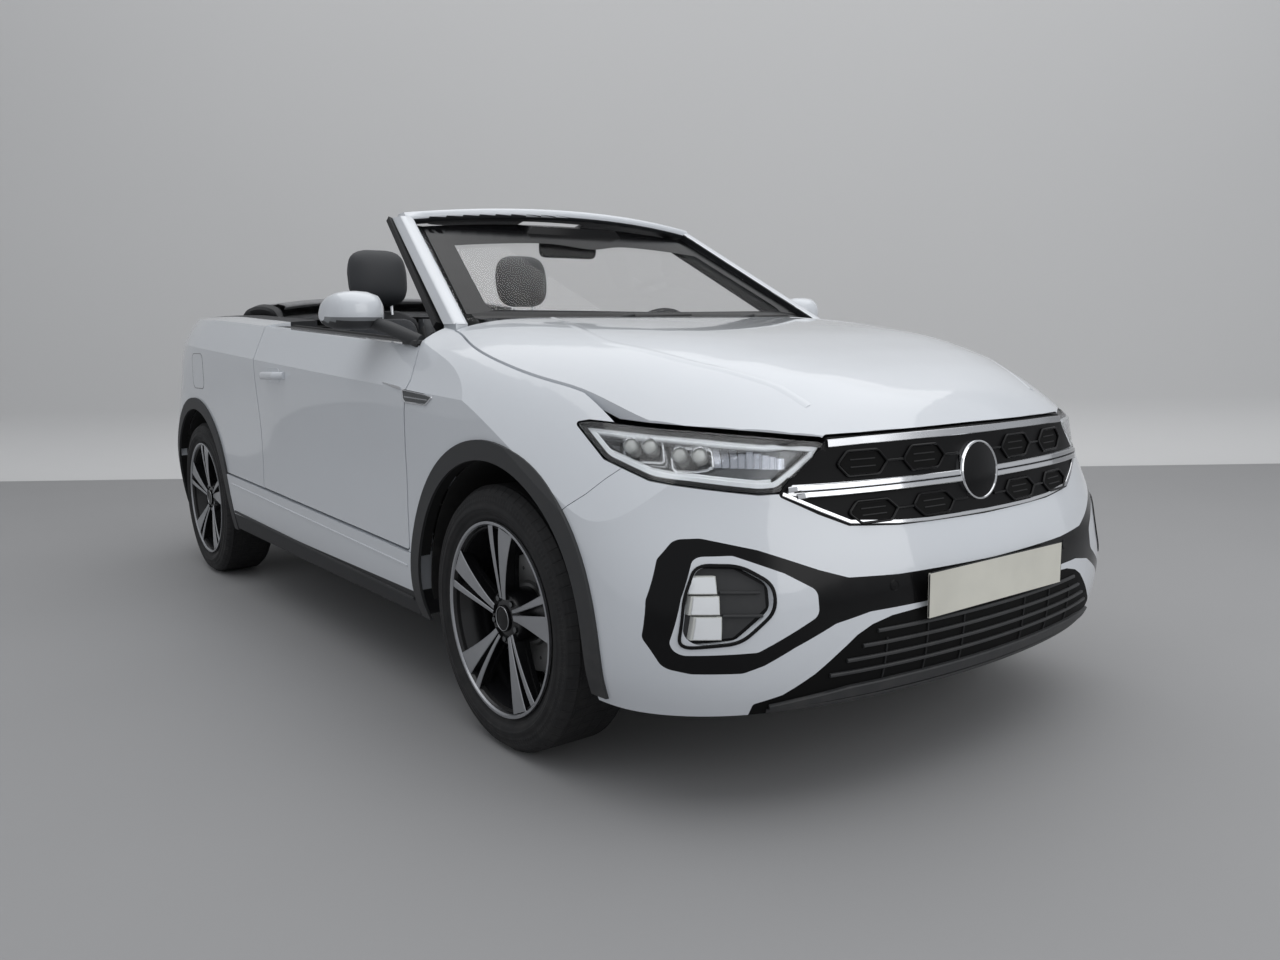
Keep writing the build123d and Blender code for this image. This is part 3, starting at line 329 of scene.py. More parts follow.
# ---------------------------------------------------------------- mesh building
class Form:
    """Collects points and faces of one piece, with a finish for each face."""

    def __init__(self):
        self.points, self.faces, self.kinds, self.finishes = [], [], [], []

    def add(self, points, faces, finish):
        """Takes in points and the faces between them."""
        if finish not in self.finishes:
            self.finishes.append(finish)
        base = len(self.points)
        self.points += [Vector(p) for p in points]
        self.faces += [[base + i for i in face] for face in faces]
        self.kinds += [self.finishes.index(finish)] * len(faces)

    def rings(self, rings, finish, around=True, ends=True, loop=False):
        """Skin over a row of rings with the same number of points."""
        count = len(rings[0])
        faces = []
        pairs = list(zip(range(len(rings)), list(range(1, len(rings))) + ([0] if loop else [])))
        for a, b in pairs:
            for j in range(count if around else count - 1):
                k = (j + 1) % count
                faces.append((a * count + j, a * count + k, b * count + k, b * count + j))
        if ends and not loop:
            faces.append(tuple(range(count))[::-1])
            faces.append(tuple((len(rings) - 1) * count + j for j in range(count)))
        self.add([p for ring in rings for p in ring], faces, finish)

    def bar(self, line, section, finish, closed=False, scale=None):
        """Bar along a line of points and normals, its section in (across, out) points."""
        rings = []
        count = len(line)
        for i, (point, normal) in enumerate(line):
            before = line[i - 1][0] if closed or i else point
            after = line[(i + 1) % count][0] if closed or i + 1 < count else point
            ahead = (after - before).normalized()
            across = ahead.cross(normal).normalized()
            out = across.cross(ahead)
            grow = scale(i / (count - 1)) if scale else 1.0
            rings.append([point + across * a * grow + out * o for a, o in section])
        self.rings(rings, finish, loop=closed)

    def trim(self, tree, view, path, width, height, finish, closed=False, step=0.012, lift=0.0, scale=None):
        """Strip with chamfered edges that lies on the body along a path of a view."""
        line = evened(cast(tree, view, spaced(path, step, closed)), closed=closed)
        line = [(p + n * lift, n) for p, n in line]
        edge = min(width, height) * 0.3
        half = width / 2
        section = mirrored([(half, -0.0015), (half, height - edge), (half - edge, height)])
        self.bar(line, section, finish, closed, scale)

    def tube(self, points, radius, finish, sides=10, closed=False):
        """Round bar along points."""
        points = [Vector(p) for p in points]
        count = len(points)
        rings, side = [], None
        for i, point in enumerate(points):
            before = points[i - 1] if closed or i else point
            after = points[(i + 1) % count] if closed or i + 1 < count else point
            ahead = (after - before).normalized()
            if side is None:
                side = ahead.orthogonal().normalized()
            side = (side - ahead * side.dot(ahead)).normalized()
            up = ahead.cross(side)
            rings.append([point + (side * math.cos(a) + up * math.sin(a)) * radius for a in turns(sides)])
        self.rings(rings, finish, loop=closed)

    def turned(self, centre, axis, profile, finish, steps=48, ends=True):
        """Form turned round an axis, its profile in (radius, along) points."""
        centre, axis = Vector(centre), Vector(axis).normalized()
        side = axis.orthogonal().normalized()
        up = axis.cross(side)
        rings = []
        for radius, along in profile:
            rings.append([centre + axis * along + (side * math.cos(a) + up * math.sin(a)) * radius
                          for a in turns(steps)])
        self.rings(rings, finish, ends=ends)

    def slab(self, origin, u, v, outline, depth, finish, edge=0.002, side=None):
        """Flat piece with chamfered edges, standing up from its origin plane."""
        origin, u, v = Vector(origin), Vector(u).normalized(), Vector(v).normalized()
        if signed_area(outline) < 0:
            outline = outline[::-1]
        normal = u.cross(v)
        inner = inset(outline, edge)

        def ring(flat, height):
            return [origin + u * a + v * b + normal * height for a, b in flat]

        self.rings([ring(outline, 0), ring(outline, depth - edge)], side or finish, ends=False)
        self.rings([ring(outline, depth - edge), ring(inner, depth)], finish, ends=False)
        count = len(outline)
        self.add(ring(inner, depth), [tuple(range(count))], finish)
        self.add(ring(outline, 0), [tuple(range(count))[::-1]], side or finish)

    def pillow(self, origin, u, v, outline, depth, finish, edge=0.01, steps=5, crown=0.0):
        """Piece with rounded edges and a crowned face, standing up from its origin plane."""
        origin, u, v = Vector(origin), Vector(u).normalized(), Vector(v).normalized()
        if signed_area(outline) < 0:
            outline = outline[::-1]
        normal = u.cross(v)
        centre = Vector((sum(p[0] for p in outline), sum(p[1] for p in outline))) / len(outline)
        rings = []
        for k in range(-steps, 1):
            lean = math.pi / 2 * (1 + k / steps)
            flat = inset(outline, edge * (1 - math.cos(math.pi / 2 * (-k / steps))) * 0.5)
            rings.append([origin + u * a + v * b + normal * (edge * 0.5 * (1 - math.cos(lean)))
                          for a, b in flat])
        for k in range(steps + 1):
            lean = math.pi / 2 * k / steps
            flat = inset(outline, edge * (1 - math.cos(lean)))
            rings.append([origin + u * a + v * b + normal * (depth - edge + edge * math.sin(lean))
                          for a, b in flat])
        last = [Vector(p) for p in inset(outline, edge)]
        for k in (0.8, 0.55, 0.3, 0.1):
            rings.append([origin + u * p.x + v * p.y + normal * (depth + crown * (1 - k * k))
                          for p in (centre + (q - centre) * k for q in last)])
        self.rings(rings, finish)

    def patch(self, tree, view, outline, finish, lift=0.0, depth=0.002, step=0.02, back=False, side=None):
        """Panel that follows the body inside an outline of a view, with its edge turned in by a depth."""
        edge = [tuple(p) for p in spaced(outline, step, True)]
        loop = list(range(len(edge)))
        low = [min(p[i] for p in edge) for i in (0, 1)]
        high = [max(p[i] for p in edge) for i in (0, 1)]
        core = inset(edge, step * 0.45)
        flat = list(edge)
        for a in range(int((high[0] - low[0]) / step) + 1):
            for b in range(int((high[1] - low[1]) / step) + 1):
                p = (low[0] + (a + 0.5) * step, low[1] + (b + 0.5) * step)
                if inside(p, core):
                    flat.append(p)
        made = delaunay_2d_cdt([Vector(p) for p in flat], list(zip(loop, loop[1:] + loop[:1])), [], 1, 1e-6)
        flat, faces = [tuple(p) for p in made[0]], [tuple(f) for f in made[2]]
        rise = []
        for point, normal in cast(tree, view, flat):
            rise.append(point - view.into * lift / max(0.4, -normal.dot(view.into)))
        self.add(rise, faces, finish)
        place = {given: i for i, group in enumerate(made[3]) for given in group}
        top = [rise[place[i]] for i in loop]
        under = [p + view.into * depth for p in top]
        self.rings([top, under], side or finish, ends=False)
        if back:
            self.add([p + view.into * depth for p in rise], [f[::-1] for f in faces], side or finish)
        return top

    def make(self, name, body, sharp=38.0, replaces=()):
        """Makes the piece, gives it its finishes and lets it ride on a body."""
        mesh = bpy.data.meshes.new(name)
        mesh.from_pydata(self.points, [], self.faces)
        for finish in self.finishes:
            mesh.materials.append(material(finish))
        mesh.polygons.foreach_set("material_index", self.kinds)
        mesh.validate()
        mesh.update()
        piece = bpy.data.objects.new(name, mesh)
        bpy.context.collection.objects.link(piece)
        dress(piece, sharp)
        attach(piece, body)
        if replaces:
            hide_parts(*replaces)
        return piece


def dress(piece, sharp):
    """Outward faces and smooth shading with sharp edges kept."""
    work = bmesh.new()
    work.from_mesh(piece.data)
    bmesh.ops.remove_doubles(work, verts=work.verts, dist=1e-5)
    bmesh.ops.recalc_face_normals(work, faces=work.faces)
    work.to_mesh(piece.data)
    work.free()
    piece.data.shade_smooth()
    piece.data.set_sharp_from_angle(angle=math.radians(sharp))


# ---------------------------------------------------------------- shared effects
EFFECTS = {}


def effect(name, inputs, output, build):
    """A node group made once: named inputs with values, one named output, and what is between them."""
    if name not in EFFECTS:
        tree = bpy.data.node_groups.new(name, "ShaderNodeTree")
        for label, value in inputs.items():
            tree.interface.new_socket(label, in_out="INPUT",
                                      socket_type="NodeSocketFloat").default_value = value
        tree.interface.new_socket(output, in_out="OUTPUT", socket_type="NodeSocketFloat")
        start, end = tree.nodes.new("NodeGroupInput"), tree.nodes.new("NodeGroupOutput")
        made = build(Nodes(tree), start.outputs)
        tree.links.new(made, end.inputs[output])
        EFFECTS[name] = tree
    return EFFECTS[name]


class Nodes:
    """Adds and joins the nodes of one tree."""

    def __init__(self, tree):
        self.tree = tree

    def put(self, kind, out=0, settings=(), **values):
        """Adds a node, sets or joins its inputs, and returns one of its outputs."""
        node = self.tree.nodes.new("ShaderNode" + kind)
        for key, value in dict(settings).items():
            setattr(node, key, value)
        for key, value in values.items():
            socket = node.inputs[int(key[1:])] if key[0] == "i" and key[1:].isdigit() else node.inputs[key]
            if isinstance(value, bpy.types.NodeSocket):
                self.tree.links.new(value, socket)
            else:
                socket.default_value = value
        return node.outputs[out]

    def sum(self, kind, a, b=0.0, c=0.0):
        """One step of arithmetic."""
        values = {"i0": a, "i1": b}
        if kind in ("MULTIPLY_ADD", "SMOOTH_MIN", "COMPARE", "WRAP"):
            values["i2"] = c
        return self.put("Math", settings={"operation": kind}, **values)

    def place(self):
        """The object's own coordinates."""
        return self.put("TexCoord", out="Object")

    def apart(self, vector, which):
        """One coordinate of a vector."""
        return self.put("SeparateXYZ", out=which, Vector=vector)

    def step(self, value, low, high, from_low=0.0, to_high=1.0):
        """Smooth rise from one value to another."""
        return self.put("MapRange", settings={"interpolation_type": "SMOOTHSTEP"},
                        i0=value, i1=low, i2=high, i3=from_low, i4=to_high)


def drift(nodes, given):
    """Slow change of tone over a surface, from 0 to Amount."""
    noise = nodes.put("TexNoise", Vector=nodes.place(), Scale=given["Scale"], Detail=3.0)
    return nodes.sum("MULTIPLY", nodes.step(noise, 0.3, 0.7), given["Amount"])


def grain(nodes, given):
    """Height of moulded plastic grain: fine pebbles with a little unevenness."""
    cells = nodes.put("TexVoronoi", Vector=nodes.place(), Scale=given["Scale"],
                      settings={"feature": "SMOOTH_F1"})
    noise = nodes.put("TexNoise", Vector=nodes.place(), Scale=given["Scale"], Detail=2.0)
    return nodes.sum("MULTIPLY_ADD", noise, 0.5, cells)


def weave(nodes, given):
    """Height of a plain weave of two crossing threads."""
    place = nodes.place()
    across = nodes.sum("ADD", nodes.apart(place, "Y"), nodes.sum("MULTIPLY", nodes.apart(place, "Z"), 0.5))
    ahead = nodes.sum("ADD", nodes.apart(place, "X"), nodes.sum("MULTIPLY", nodes.apart(place, "Z"), 0.9))
    a = nodes.sum("SINE", nodes.sum("MULTIPLY", across, given["Threads"]))
    b = nodes.sum("SINE", nodes.sum("MULTIPLY", ahead, given["Threads"]))
    return nodes.sum("MULTIPLY_ADD", nodes.sum("MULTIPLY", a, b), 0.5, 0.5)


def peel(nodes, given):
    """Height of the faint waviness of sprayed paint."""
    fine = nodes.put("TexNoise", Vector=nodes.place(), Scale=given["Scale"], Detail=1.0)
    broad = nodes.put("TexNoise", Vector=nodes.place(), Scale=9.0, Detail=1.0)
    return nodes.sum("MULTIPLY_ADD", broad, 0.6, fine)


def dust(nodes, given):
    """Thin road dust: more of it towards the ground, broken up by noise."""
    place = nodes.place()
    low = nodes.step(nodes.apart(place, "Z"), given["Top"], 0.0)
    noise = nodes.put("TexNoise", Vector=place, Scale=24.0, Detail=5.0)
    return nodes.sum("MULTIPLY", nodes.sum("MULTIPLY", low, nodes.step(noise, 0.35, 0.75)), given["Amount"])


def from_hub(nodes, given):
    """Distance from the axle, in the wheel's plane."""
    place = nodes.place()
    x = nodes.sum("SUBTRACT", nodes.apart(place, "X"), given["Axle X"])
    z = nodes.sum("SUBTRACT", nodes.apart(place, "Z"), HUB_Z)
    return nodes.sum("SQRT", nodes.sum("MULTIPLY_ADD", x, x, nodes.sum("MULTIPLY", z, z)))


def lathe_marks(nodes, given):
    """Fine turning marks of a machined wheel face."""
    radius = from_hub(nodes, given)
    line = nodes.put("CombineXYZ", X=nodes.sum("MULTIPLY", radius, given["Fineness"]))
    return nodes.put("TexNoise", Vector=line, Scale=1.0, Detail=4.0)


def tyre_relief(nodes, given):
    """Height of tread blocks, grooves and the fine rings of a sidewall."""
    place = nodes.place()
    radius = from_hub(nodes, given)
    y = nodes.sum("SUBTRACT", nodes.sum("ABSOLUTE", nodes.apart(place, "Y")), WHEEL_Y)
    x = nodes.sum("SUBTRACT", nodes.apart(place, "X"), given["Axle X"])
    z = nodes.sum("SUBTRACT", nodes.apart(place, "Z"), HUB_Z)
    turn = nodes.sum("ARCTAN2", z, x)
    groove = nodes.step(nodes.sum("COSINE", nodes.sum("MULTIPLY", y, 182.0)), 0.80, 0.93, 1.0, 0.0)
    skew = nodes.sum("MULTIPLY_ADD", nodes.sum("ABSOLUTE", y), 26.0, nodes.sum("MULTIPLY", turn, 68.0))
    cut = nodes.step(nodes.sum("COSINE", skew), 0.84, 0.95, 1.0, 0.0)
    tread = nodes.sum("MULTIPLY", groove, cut)
    on_tread = nodes.step(radius, 0.318, 0.327)
    rings = nodes.sum("COSINE", nodes.sum("MULTIPLY", radius, 420.0))
    ribs = nodes.step(nodes.sum("COSINE", nodes.sum("MULTIPLY", turn, 150.0)), -0.2, 0.2)
    band = nodes.sum("MULTIPLY", nodes.step(radius, 0.296, 0.298), nodes.step(radius, 0.312, 0.310))
    wall = nodes.sum("MULTIPLY_ADD", rings, 0.10,
                     nodes.sum("MULTIPLY", ribs, nodes.sum("MULTIPLY", band, 0.22)))
    return nodes.put("Mix", settings={"data_type": "FLOAT"}, i0=on_tread, i2=wall, i3=tread)


def arch_zone(nodes, given):
    """Mask of what lies at or within a distance from the axle."""
    return nodes.step(from_hub(nodes, given), nodes.sum("ADD", given["Radius"], 0.001), given["Radius"])


def low_strip(nodes, given):
    """Mask of everything below a height."""
    return nodes.step(nodes.apart(nodes.place(), "Z"), given["Height"],
                      nodes.sum("SUBTRACT", given["Height"], 0.002))


def inward(nodes, given):
    """Mask of the faces that look into the cabin."""
    return nodes.step(nodes.sum("ABSOLUTE", nodes.apart(nodes.place(), "Y")),
                      nodes.sum("ADD", given["Half Width"], 0.002), given["Half Width"])


def cabin_face(nodes, given):
    """Mask of faces turned to the back, down or towards the middle of the car."""
    normal = nodes.put("NewGeometry", out="True Normal")
    side = nodes.sum("SIGN", nodes.apart(nodes.place(), "Y"))
    middle = nodes.step(nodes.sum("MULTIPLY", nodes.apart(normal, "Y"), side), -0.45, -0.55)
    back = nodes.step(nodes.apart(normal, "X"), -0.30, -0.40)
    down = nodes.step(nodes.apart(normal, "Z"), -0.25, -0.35)
    lower = nodes.sum("MULTIPLY", down, nodes.step(nodes.apart(nodes.place(), "Z"), given["Above"],
                                                   nodes.sum("ADD", given["Above"], 0.01)))
    return nodes.sum("MAXIMUM", middle, nodes.sum("MAXIMUM", back, lower))


KNOWN = {
    "Tone Drift": ({"Scale": 2.0, "Amount": 0.3}, "Tone", drift),
    "Moulded Grain": ({"Scale": 900.0}, "Height", grain),
    "Plain Weave": ({"Threads": 2600.0}, "Height", weave),
    "Paint Peel": ({"Scale": 260.0}, "Height", peel),
    "Road Dust": ({"Top": 0.6, "Amount": 0.3}, "Mask", dust),
    "Turning Marks": ({"Axle X": 0.0, "Fineness": 900.0}, "Height", lathe_marks),
    "Tyre Relief": ({"Axle X": 0.0}, "Height", tyre_relief),
    "Arch Zone": ({"Axle X": 0.0, "Radius": 0.4}, "Mask", arch_zone),
    "Low Strip": ({"Height": 0.3}, "Mask", low_strip),
    "Inner Zone": ({"Half Width": 0.8}, "Mask", inward),
    "Cabin Face": ({"Above": 1.1}, "Mask", cabin_face),
}


class Finish(Nodes):
    """One material: a Principled shader with masks, colours and relief added to it."""

    def __init__(self, name, colour, rough, **sockets):
        self.material = bpy.data.materials.new(name)
        self.material.use_nodes = True
        super().__init__(self.material.node_tree)
        self.shader = self.tree.nodes["Principled BSDF"]
        self.material.diffuse_color = self.shader.inputs["Base Color"].default_value = (*colour, 1.0)
        self.shader.inputs["Roughness"].default_value = rough
        for key, value in sockets.items():
            self.shader.inputs[key.replace("_", " ").title().replace("Ior", "IOR")].default_value = value
        self.relief = None

    def group(self, name, **values):
        """Places a shared effect with its own values and returns what it puts out."""
        inputs, output, build = KNOWN[name]
        node = self.tree.nodes.new("ShaderNodeGroup")
        node.node_tree = effect(name, inputs, output, build)
        for key, value in values.items():
            node.inputs[key.replace("_", " ").title()].default_value = value
        return node.outputs[output]

    def blend(self, name, mask, other, kind="FLOAT", out=0, before="i2", after="i3"):
        """Another value of one of the shader's inputs where the mask is 1."""
        socket = self.shader.inputs[name]
        source = socket.links[0].from_socket if socket.is_linked else socket.default_value
        mix = self.put("Mix", out=out, settings={"data_type": kind},
                       **{"i0": mask, before: source, after: other})
        self.tree.links.new(mix, socket)
        return self

    def colour(self, mask, other):
        """Another colour where the mask is 1."""
        return self.blend("Base Color", mask, (*other, 1.0), "RGBA", out=2, before="i6", after="i7")

    def rough(self, mask, other):
        """Another roughness where the mask is 1."""
        return self.blend("Roughness", mask, other)

    def coat(self, mask, other):
        """Another strength of clear coat where the mask is 1."""
        return self.blend("Coat Weight", mask, other)

    def cover(self, mask, colour, rough):
        """Uncoated colour of its own where the mask is 1: trim, and in the wheel arches painted shade."""
        return self.colour(mask, colour).rough(mask, rough).coat(mask, 0.0)

    def bump(self, height, strength, distance):
        """Relief from a height."""
        values = {"Height": height, "Strength": strength, "Distance": distance}
        if self.relief is not None:
            values["Normal"] = self.relief
        self.relief = self.put("Bump", **values)
        self.tree.links.new(self.relief, self.shader.inputs["Normal"])
        return self

    def clear_shadows(self):
        """Lets light through to what lies behind."""
        out = self.tree.nodes["Material Output"]
        light = self.put("LightPath", out="Is Shadow Ray")
        through = self.put("BsdfTransparent", Color=(0.92, 0.94, 0.95, 1.0))
        mix = self.put("MixShader", i0=light, i1=self.shader.outputs[0], i2=through)
        self.tree.links.new(mix, out.inputs["Surface"])
        return self


def darker(colour, by):
    """A colour scaled."""
    return tuple(c * by for c in colour)


def paint_colour(which):
    """One of the colours that a user may change: body, cladding or cabin."""
    return tuple(getattr(bpy.context.scene.suv_paint, which))


def paint_finish(name):
    """Gloss paint under clear coat, with painted shade inside the wheel arches: near black there."""
    body = paint_colour("body")
    finish = Finish(name, body, bpy.context.scene.suv_paint.gloss, coat_weight=1.0, coat_roughness=0.04,
                    specular_ior_level=0.4)
    finish.colour(finish.group("Tone Drift", scale=3.0, amount=0.25), darker(body, 0.97))
    # Painted shade: faces at the arch's edge round each axle are made near black, darker than the liner, as
    # the shade inside the arch.
    for axle_x in AXLES.values():
        mask = finish.group("Arch Zone", axle_x=axle_x, radius=ARCH_RADIUS + 0.003)
        finish.cover(mask, (0.006, 0.006, 0.006), 0.8)
    return finish.bump(finish.group("Paint Peel"), 0.06, 0.001)


def plastic(name, colour, rough, scale=900.0, strength=0.3, dusty=0.0, **sockets):
    """Grained plastic."""
    finish = Finish(name, colour, rough, **sockets)
    tone = finish.group("Tone Drift", scale=6.0, amount=0.5)
    finish.colour(tone, darker(colour, 1.25)).rough(tone, min(1.0, rough + 0.08))
    if dusty:
        finish.colour(finish.group("Road Dust", amount=dusty, top=0.75), (0.10, 0.095, 0.088))
    return finish.bump(finish.group("Moulded Grain", scale=scale), strength, 0.0004)


def metal(name, colour, rough, scale=300.0, strength=0.05, drift_to=0.85):
    """Bare, cast or plated metal."""
    finish = Finish(name, colour, rough, metallic=1.0)
    tone = finish.group("Tone Drift", scale=9.0, amount=0.6)
    finish.colour(tone, darker(colour, drift_to)).rough(tone, min(1.0, rough * 1.4))
    return finish.bump(finish.group("Moulded Grain", scale=scale), strength, 0.0003)


def cloth(name, colour, threads, rough=0.85, strength=0.5):
    """Woven cloth with a soft sheen."""
    finish = Finish(name, colour, rough, sheen_weight=0.35, sheen_roughness=0.4)
    finish.colour(finish.group("Tone Drift", scale=30.0, amount=0.6), darker(colour, 1.35))
    return finish.bump(finish.group("Plain Weave", threads=threads), strength, 0.0006)


def glass(name, colour, solid, rough=0.0, drifting=0.02):
    """Clear or tinted glass that casts no dark shadow. solid is how much of it reflects and bends light."""
    finish = Finish(name, colour, rough, transmission_weight=1.0, ior=1.45, alpha=solid)
    finish.rough(finish.group("Tone Drift", scale=4.0, amount=1.0), rough + drifting)
    return finish.clear_shadows()


def machined(name, axle_x):
    """Machined alloy with turning marks round the axle."""
    alloy = tuple(bpy.context.scene.suv_wheel.alloy)
    finish = Finish(name, alloy, 0.30, metallic=0.85, coat_weight=0.5, coat_roughness=0.12)
    marks = finish.group("Turning Marks", axle_x=axle_x)
    finish.colour(finish.group("Tone Drift", scale=14.0, amount=0.5), darker(alloy, 0.8))
    return finish.bump(marks, 0.25, 0.0004)


def rubber(name, axle_x):
    """Tyre rubber with tread blocks and sidewall rings."""
    finish = Finish(name, (0.014, 0.014, 0.015), 0.62, specular_ior_level=0.35)
    finish.colour(finish.group("Road Dust", amount=0.35, top=0.9), (0.040, 0.038, 0.036))
    finish.rough(finish.group("Tone Drift", scale=18.0, amount=0.8), 0.75)
    return finish.bump(finish.group("Tyre Relief", axle_x=axle_x), 1.0, 0.006)


def screen_frame_finish(name):
    """Paint outside, dark trim on the faces towards the cabin."""
    finish = paint_finish(name)
    return finish.cover(finish.group("Cabin Face", above=1.10), paint_colour("cabin"), 0.6)


def panel_with_lining(name, half_width):
    """Paint outside, dark trim on what lies further in than a width."""
    finish = paint_finish(name)
    return finish.cover(finish.group("Inner Zone", half_width=half_width), paint_colour("cabin"), 0.6)


def sill_finish(name):
    """Paint above, grained dark plastic along the lower edge."""
    finish = paint_finish(name)
    finish.cover(finish.group("Low Strip", height=0.325), paint_colour("cladding"), 0.6)
    return finish.bump(finish.group("Moulded Grain", scale=700.0), 0.03, 0.0004)


def mirror_finish(name):
    """Polished mirror glass."""
    finish = Finish(name, (0.78, 0.79, 0.80), 0.02, metallic=1.0)
    return finish.rough(finish.group("Tone Drift", scale=5.0, amount=0.5), 0.05)


def floor_finish(name):
    """Plain pale floor with a faint unevenness."""
    tone = tuple(bpy.context.scene.suv_stage.floor)
    finish = Finish(name, tone, 0.55, specular_ior_level=0.25)
    finish.colour(finish.group("Tone Drift", scale=0.6, amount=0.5), darker(tone, 0.94))
    return finish.bump(finish.group("Moulded Grain", scale=60.0), 0.03, 0.001)


def wall_finish(name):
    """Plain pale backdrop."""
    tone = tuple(bpy.context.scene.suv_stage.wall)
    finish = Finish(name, tone, 0.9, specular_ior_level=0.0)
    return finish.colour(finish.group("Tone Drift", scale=0.3, amount=0.4), darker(tone, 0.96))


FINISHES = {
    "paint": paint_finish,
    "door_paint": lambda n: panel_with_lining(n, 0.800),
    "quarter_paint": lambda n: panel_with_lining(n, 0.742),
    "screen_frame": screen_frame_finish,
    "sill_paint": sill_finish,
    "cladding": lambda n: plastic(n, paint_colour("cladding"), 0.55, 700.0, 0.35, 0.25),
    "wheel_tunnel": lambda n: plastic(n, (0.012, 0.012, 0.012), 0.85, 200.0, 0.5, 0.5),
    "gloss_black": lambda n: plastic(n, (0.004, 0.004, 0.0045), 0.16, 300.0, 0.01, 0.0,
                                     specular_ior_level=0.20),
    "deep_black": lambda n: plastic(n, (0.003, 0.003, 0.003), 0.7, 500.0, 0.2, specular_ior_level=0.15),
    "grille_black": lambda n: plastic(n, (0.0035, 0.0035, 0.004), 0.42, 600.0, 0.1, specular_ior_level=0.12),
    "seal": lambda n: plastic(n, (0.010, 0.010, 0.011), 0.65, 900.0, 0.2),
    "seam": lambda n: plastic(n, (0.05, 0.052, 0.056), 0.5, 500.0, 0.1),
    "cabin_plastic": lambda n: plastic(n, paint_colour("cabin"), 0.62, 1100.0, 0.4),
    "cabin_gloss": lambda n: plastic(n, (0.010, 0.010, 0.011), 0.10, 300.0, 0.01),
    "cabin_leather": lambda n: plastic(n, (0.020, 0.020, 0.022), 0.5, 650.0, 0.5),
    "display": lambda n: plastic(n, (0.006, 0.008, 0.010), 0.06, 100.0, 0.005),
    "carpet": lambda n: cloth(n, (0.018, 0.018, 0.019), 1500.0, 0.95, 0.8),
    "seat_cloth": lambda n: cloth(n, tuple(bpy.context.scene.suv_seat.cloth), 2400.0),
    "seat_side": lambda n: plastic(n, (0.030, 0.032, 0.036), 0.48, 750.0, 0.5),
    "stitching": lambda n: cloth(n, (0.16, 0.17, 0.18), 3000.0),
    "canvas": lambda n: cloth(n, (0.165, 0.167, 0.172), 2000.0, 0.9, 0.6),
    "canvas_lining": lambda n: cloth(n, (0.05, 0.05, 0.052), 2600.0, 0.9, 0.5),
    "chrome": lambda n: metal(n, (0.75, 0.76, 0.78), 0.08, 60.0, 0.01, 0.95),
    "satin_chrome": lambda n: metal(n, (0.60, 0.61, 0.63), 0.24, 400.0, 0.03, 0.92),
    "dark_chrome": lambda n: metal(n, (0.16, 0.165, 0.17), 0.15, 60.0, 0.01),
    "reflector": lambda n: metal(n, (0.55, 0.57, 0.62), 0.16, 40.0, 0.02),
    "brake_disc": lambda n: metal(n, (0.28, 0.28, 0.28), 0.35, 500.0, 0.08),
    "caliper": lambda n: metal(n, (0.20, 0.20, 0.21), 0.5, 250.0, 0.3),
    "cast_metal": lambda n: metal(n, (0.12, 0.12, 0.12), 0.6, 180.0, 0.5),
    "exhaust_steel": lambda n: metal(n, (0.30, 0.29, 0.28), 0.38, 260.0, 0.12),
    "underbody": lambda n: plastic(n, (0.022, 0.022, 0.023), 0.7, 200.0, 0.4, 0.6),
    "wheel_black": lambda n: plastic(n, (0.008, 0.008, 0.009), 0.22, 400.0, 0.02),
    "alloy_front": lambda n: machined(n, AXLES["front"]),
    "alloy_rear": lambda n: machined(n, AXLES["rear"]),
    "tyre_front": lambda n: rubber(n, AXLES["front"]),
    "tyre_rear": lambda n: rubber(n, AXLES["rear"]),
    "plate_pale": lambda n: plastic(n, (0.66, 0.65, 0.58), 0.35, 120.0, 0.02),
    "lens_white": lambda n: plastic(n, (0.72, 0.73, 0.70), 0.18, 200.0, 0.02, transmission_weight=0.15),
    "light_strip": lambda n: plastic(n, (0.80, 0.82, 0.84), 0.15, 200.0, 0.02),
    "smoke": lambda n: plastic(n, (0.20, 0.21, 0.22), 0.12, 200.0, 0.02),
    "tail_red": lambda n: plastic(n, (0.22, 0.006, 0.008), 0.10, 200.0, 0.02, coat_weight=0.8),
    "bright_red": lambda n: plastic(n, (0.50, 0.02, 0.02), 0.20, 200.0, 0.02, coat_weight=0.5),
    "lamp_cover": lambda n: glass(n, (0.97, 0.98, 0.99), 0.6),
    "screen_glass": lambda n: glass(n, (0.90, 0.93, 0.93), 0.05),
    "mirror_glass": mirror_finish,
    "floor": floor_finish,
    "wall": wall_finish,
}
MADE = {}


def material(name):
    """A finish by its name, made when it is first asked for."""
    if name not in MADE:
        MADE[name] = FINISHES[name](name).material
    return MADE[name]


NODE_FINISH = {
    "hood": "paint", "boot_lid": "paint", "front_fenders": "paint", "front_bumper": "paint",
    "rear_bumper": "paint", "rear_quarters": "quarter_paint", "door_left": "door_paint",
    "door_right": "door_paint", "sills": "sill_paint", "fog_rings": "paint", "fog_surrounds": "gloss_black",
    "grille": "grille_black", "grille_trim": "satin_chrome", "lower_grille": "deep_black",
    "fog_lamps": "lens_white", "windscreen_frame": "screen_frame", "windscreen": "screen_glass",
    "cowl_panel": "deep_black", "arch_trims": "cladding", "arch_liners": "wheel_tunnel",
    "rear_diffuser": "cladding", "tail_lamps": "tail_red", "lid_lamps": "tail_red", "plates": "plate_pale",
    "dashboard": "cabin_plastic", "centre_console": "cabin_plastic", "interior_mirror": "cabin_gloss",
    "floor_pan": "carpet", "front_structure": "underbody", "rear_structure": "underbody",
    "engine_block": "cast_metal", "exhaust": "exhaust_steel", "front_subframe": "underbody",
    "rear_axle_beam": "underbody", "fuel_tank": "underbody", "knuckle_left": "cast_metal",
    "knuckle_right": "cast_metal", "tyre_front_left": "tyre_front", "tyre_front_right": "tyre_front",
    "tyre_rear_left": "tyre_rear", "tyre_rear_right": "tyre_rear",
}


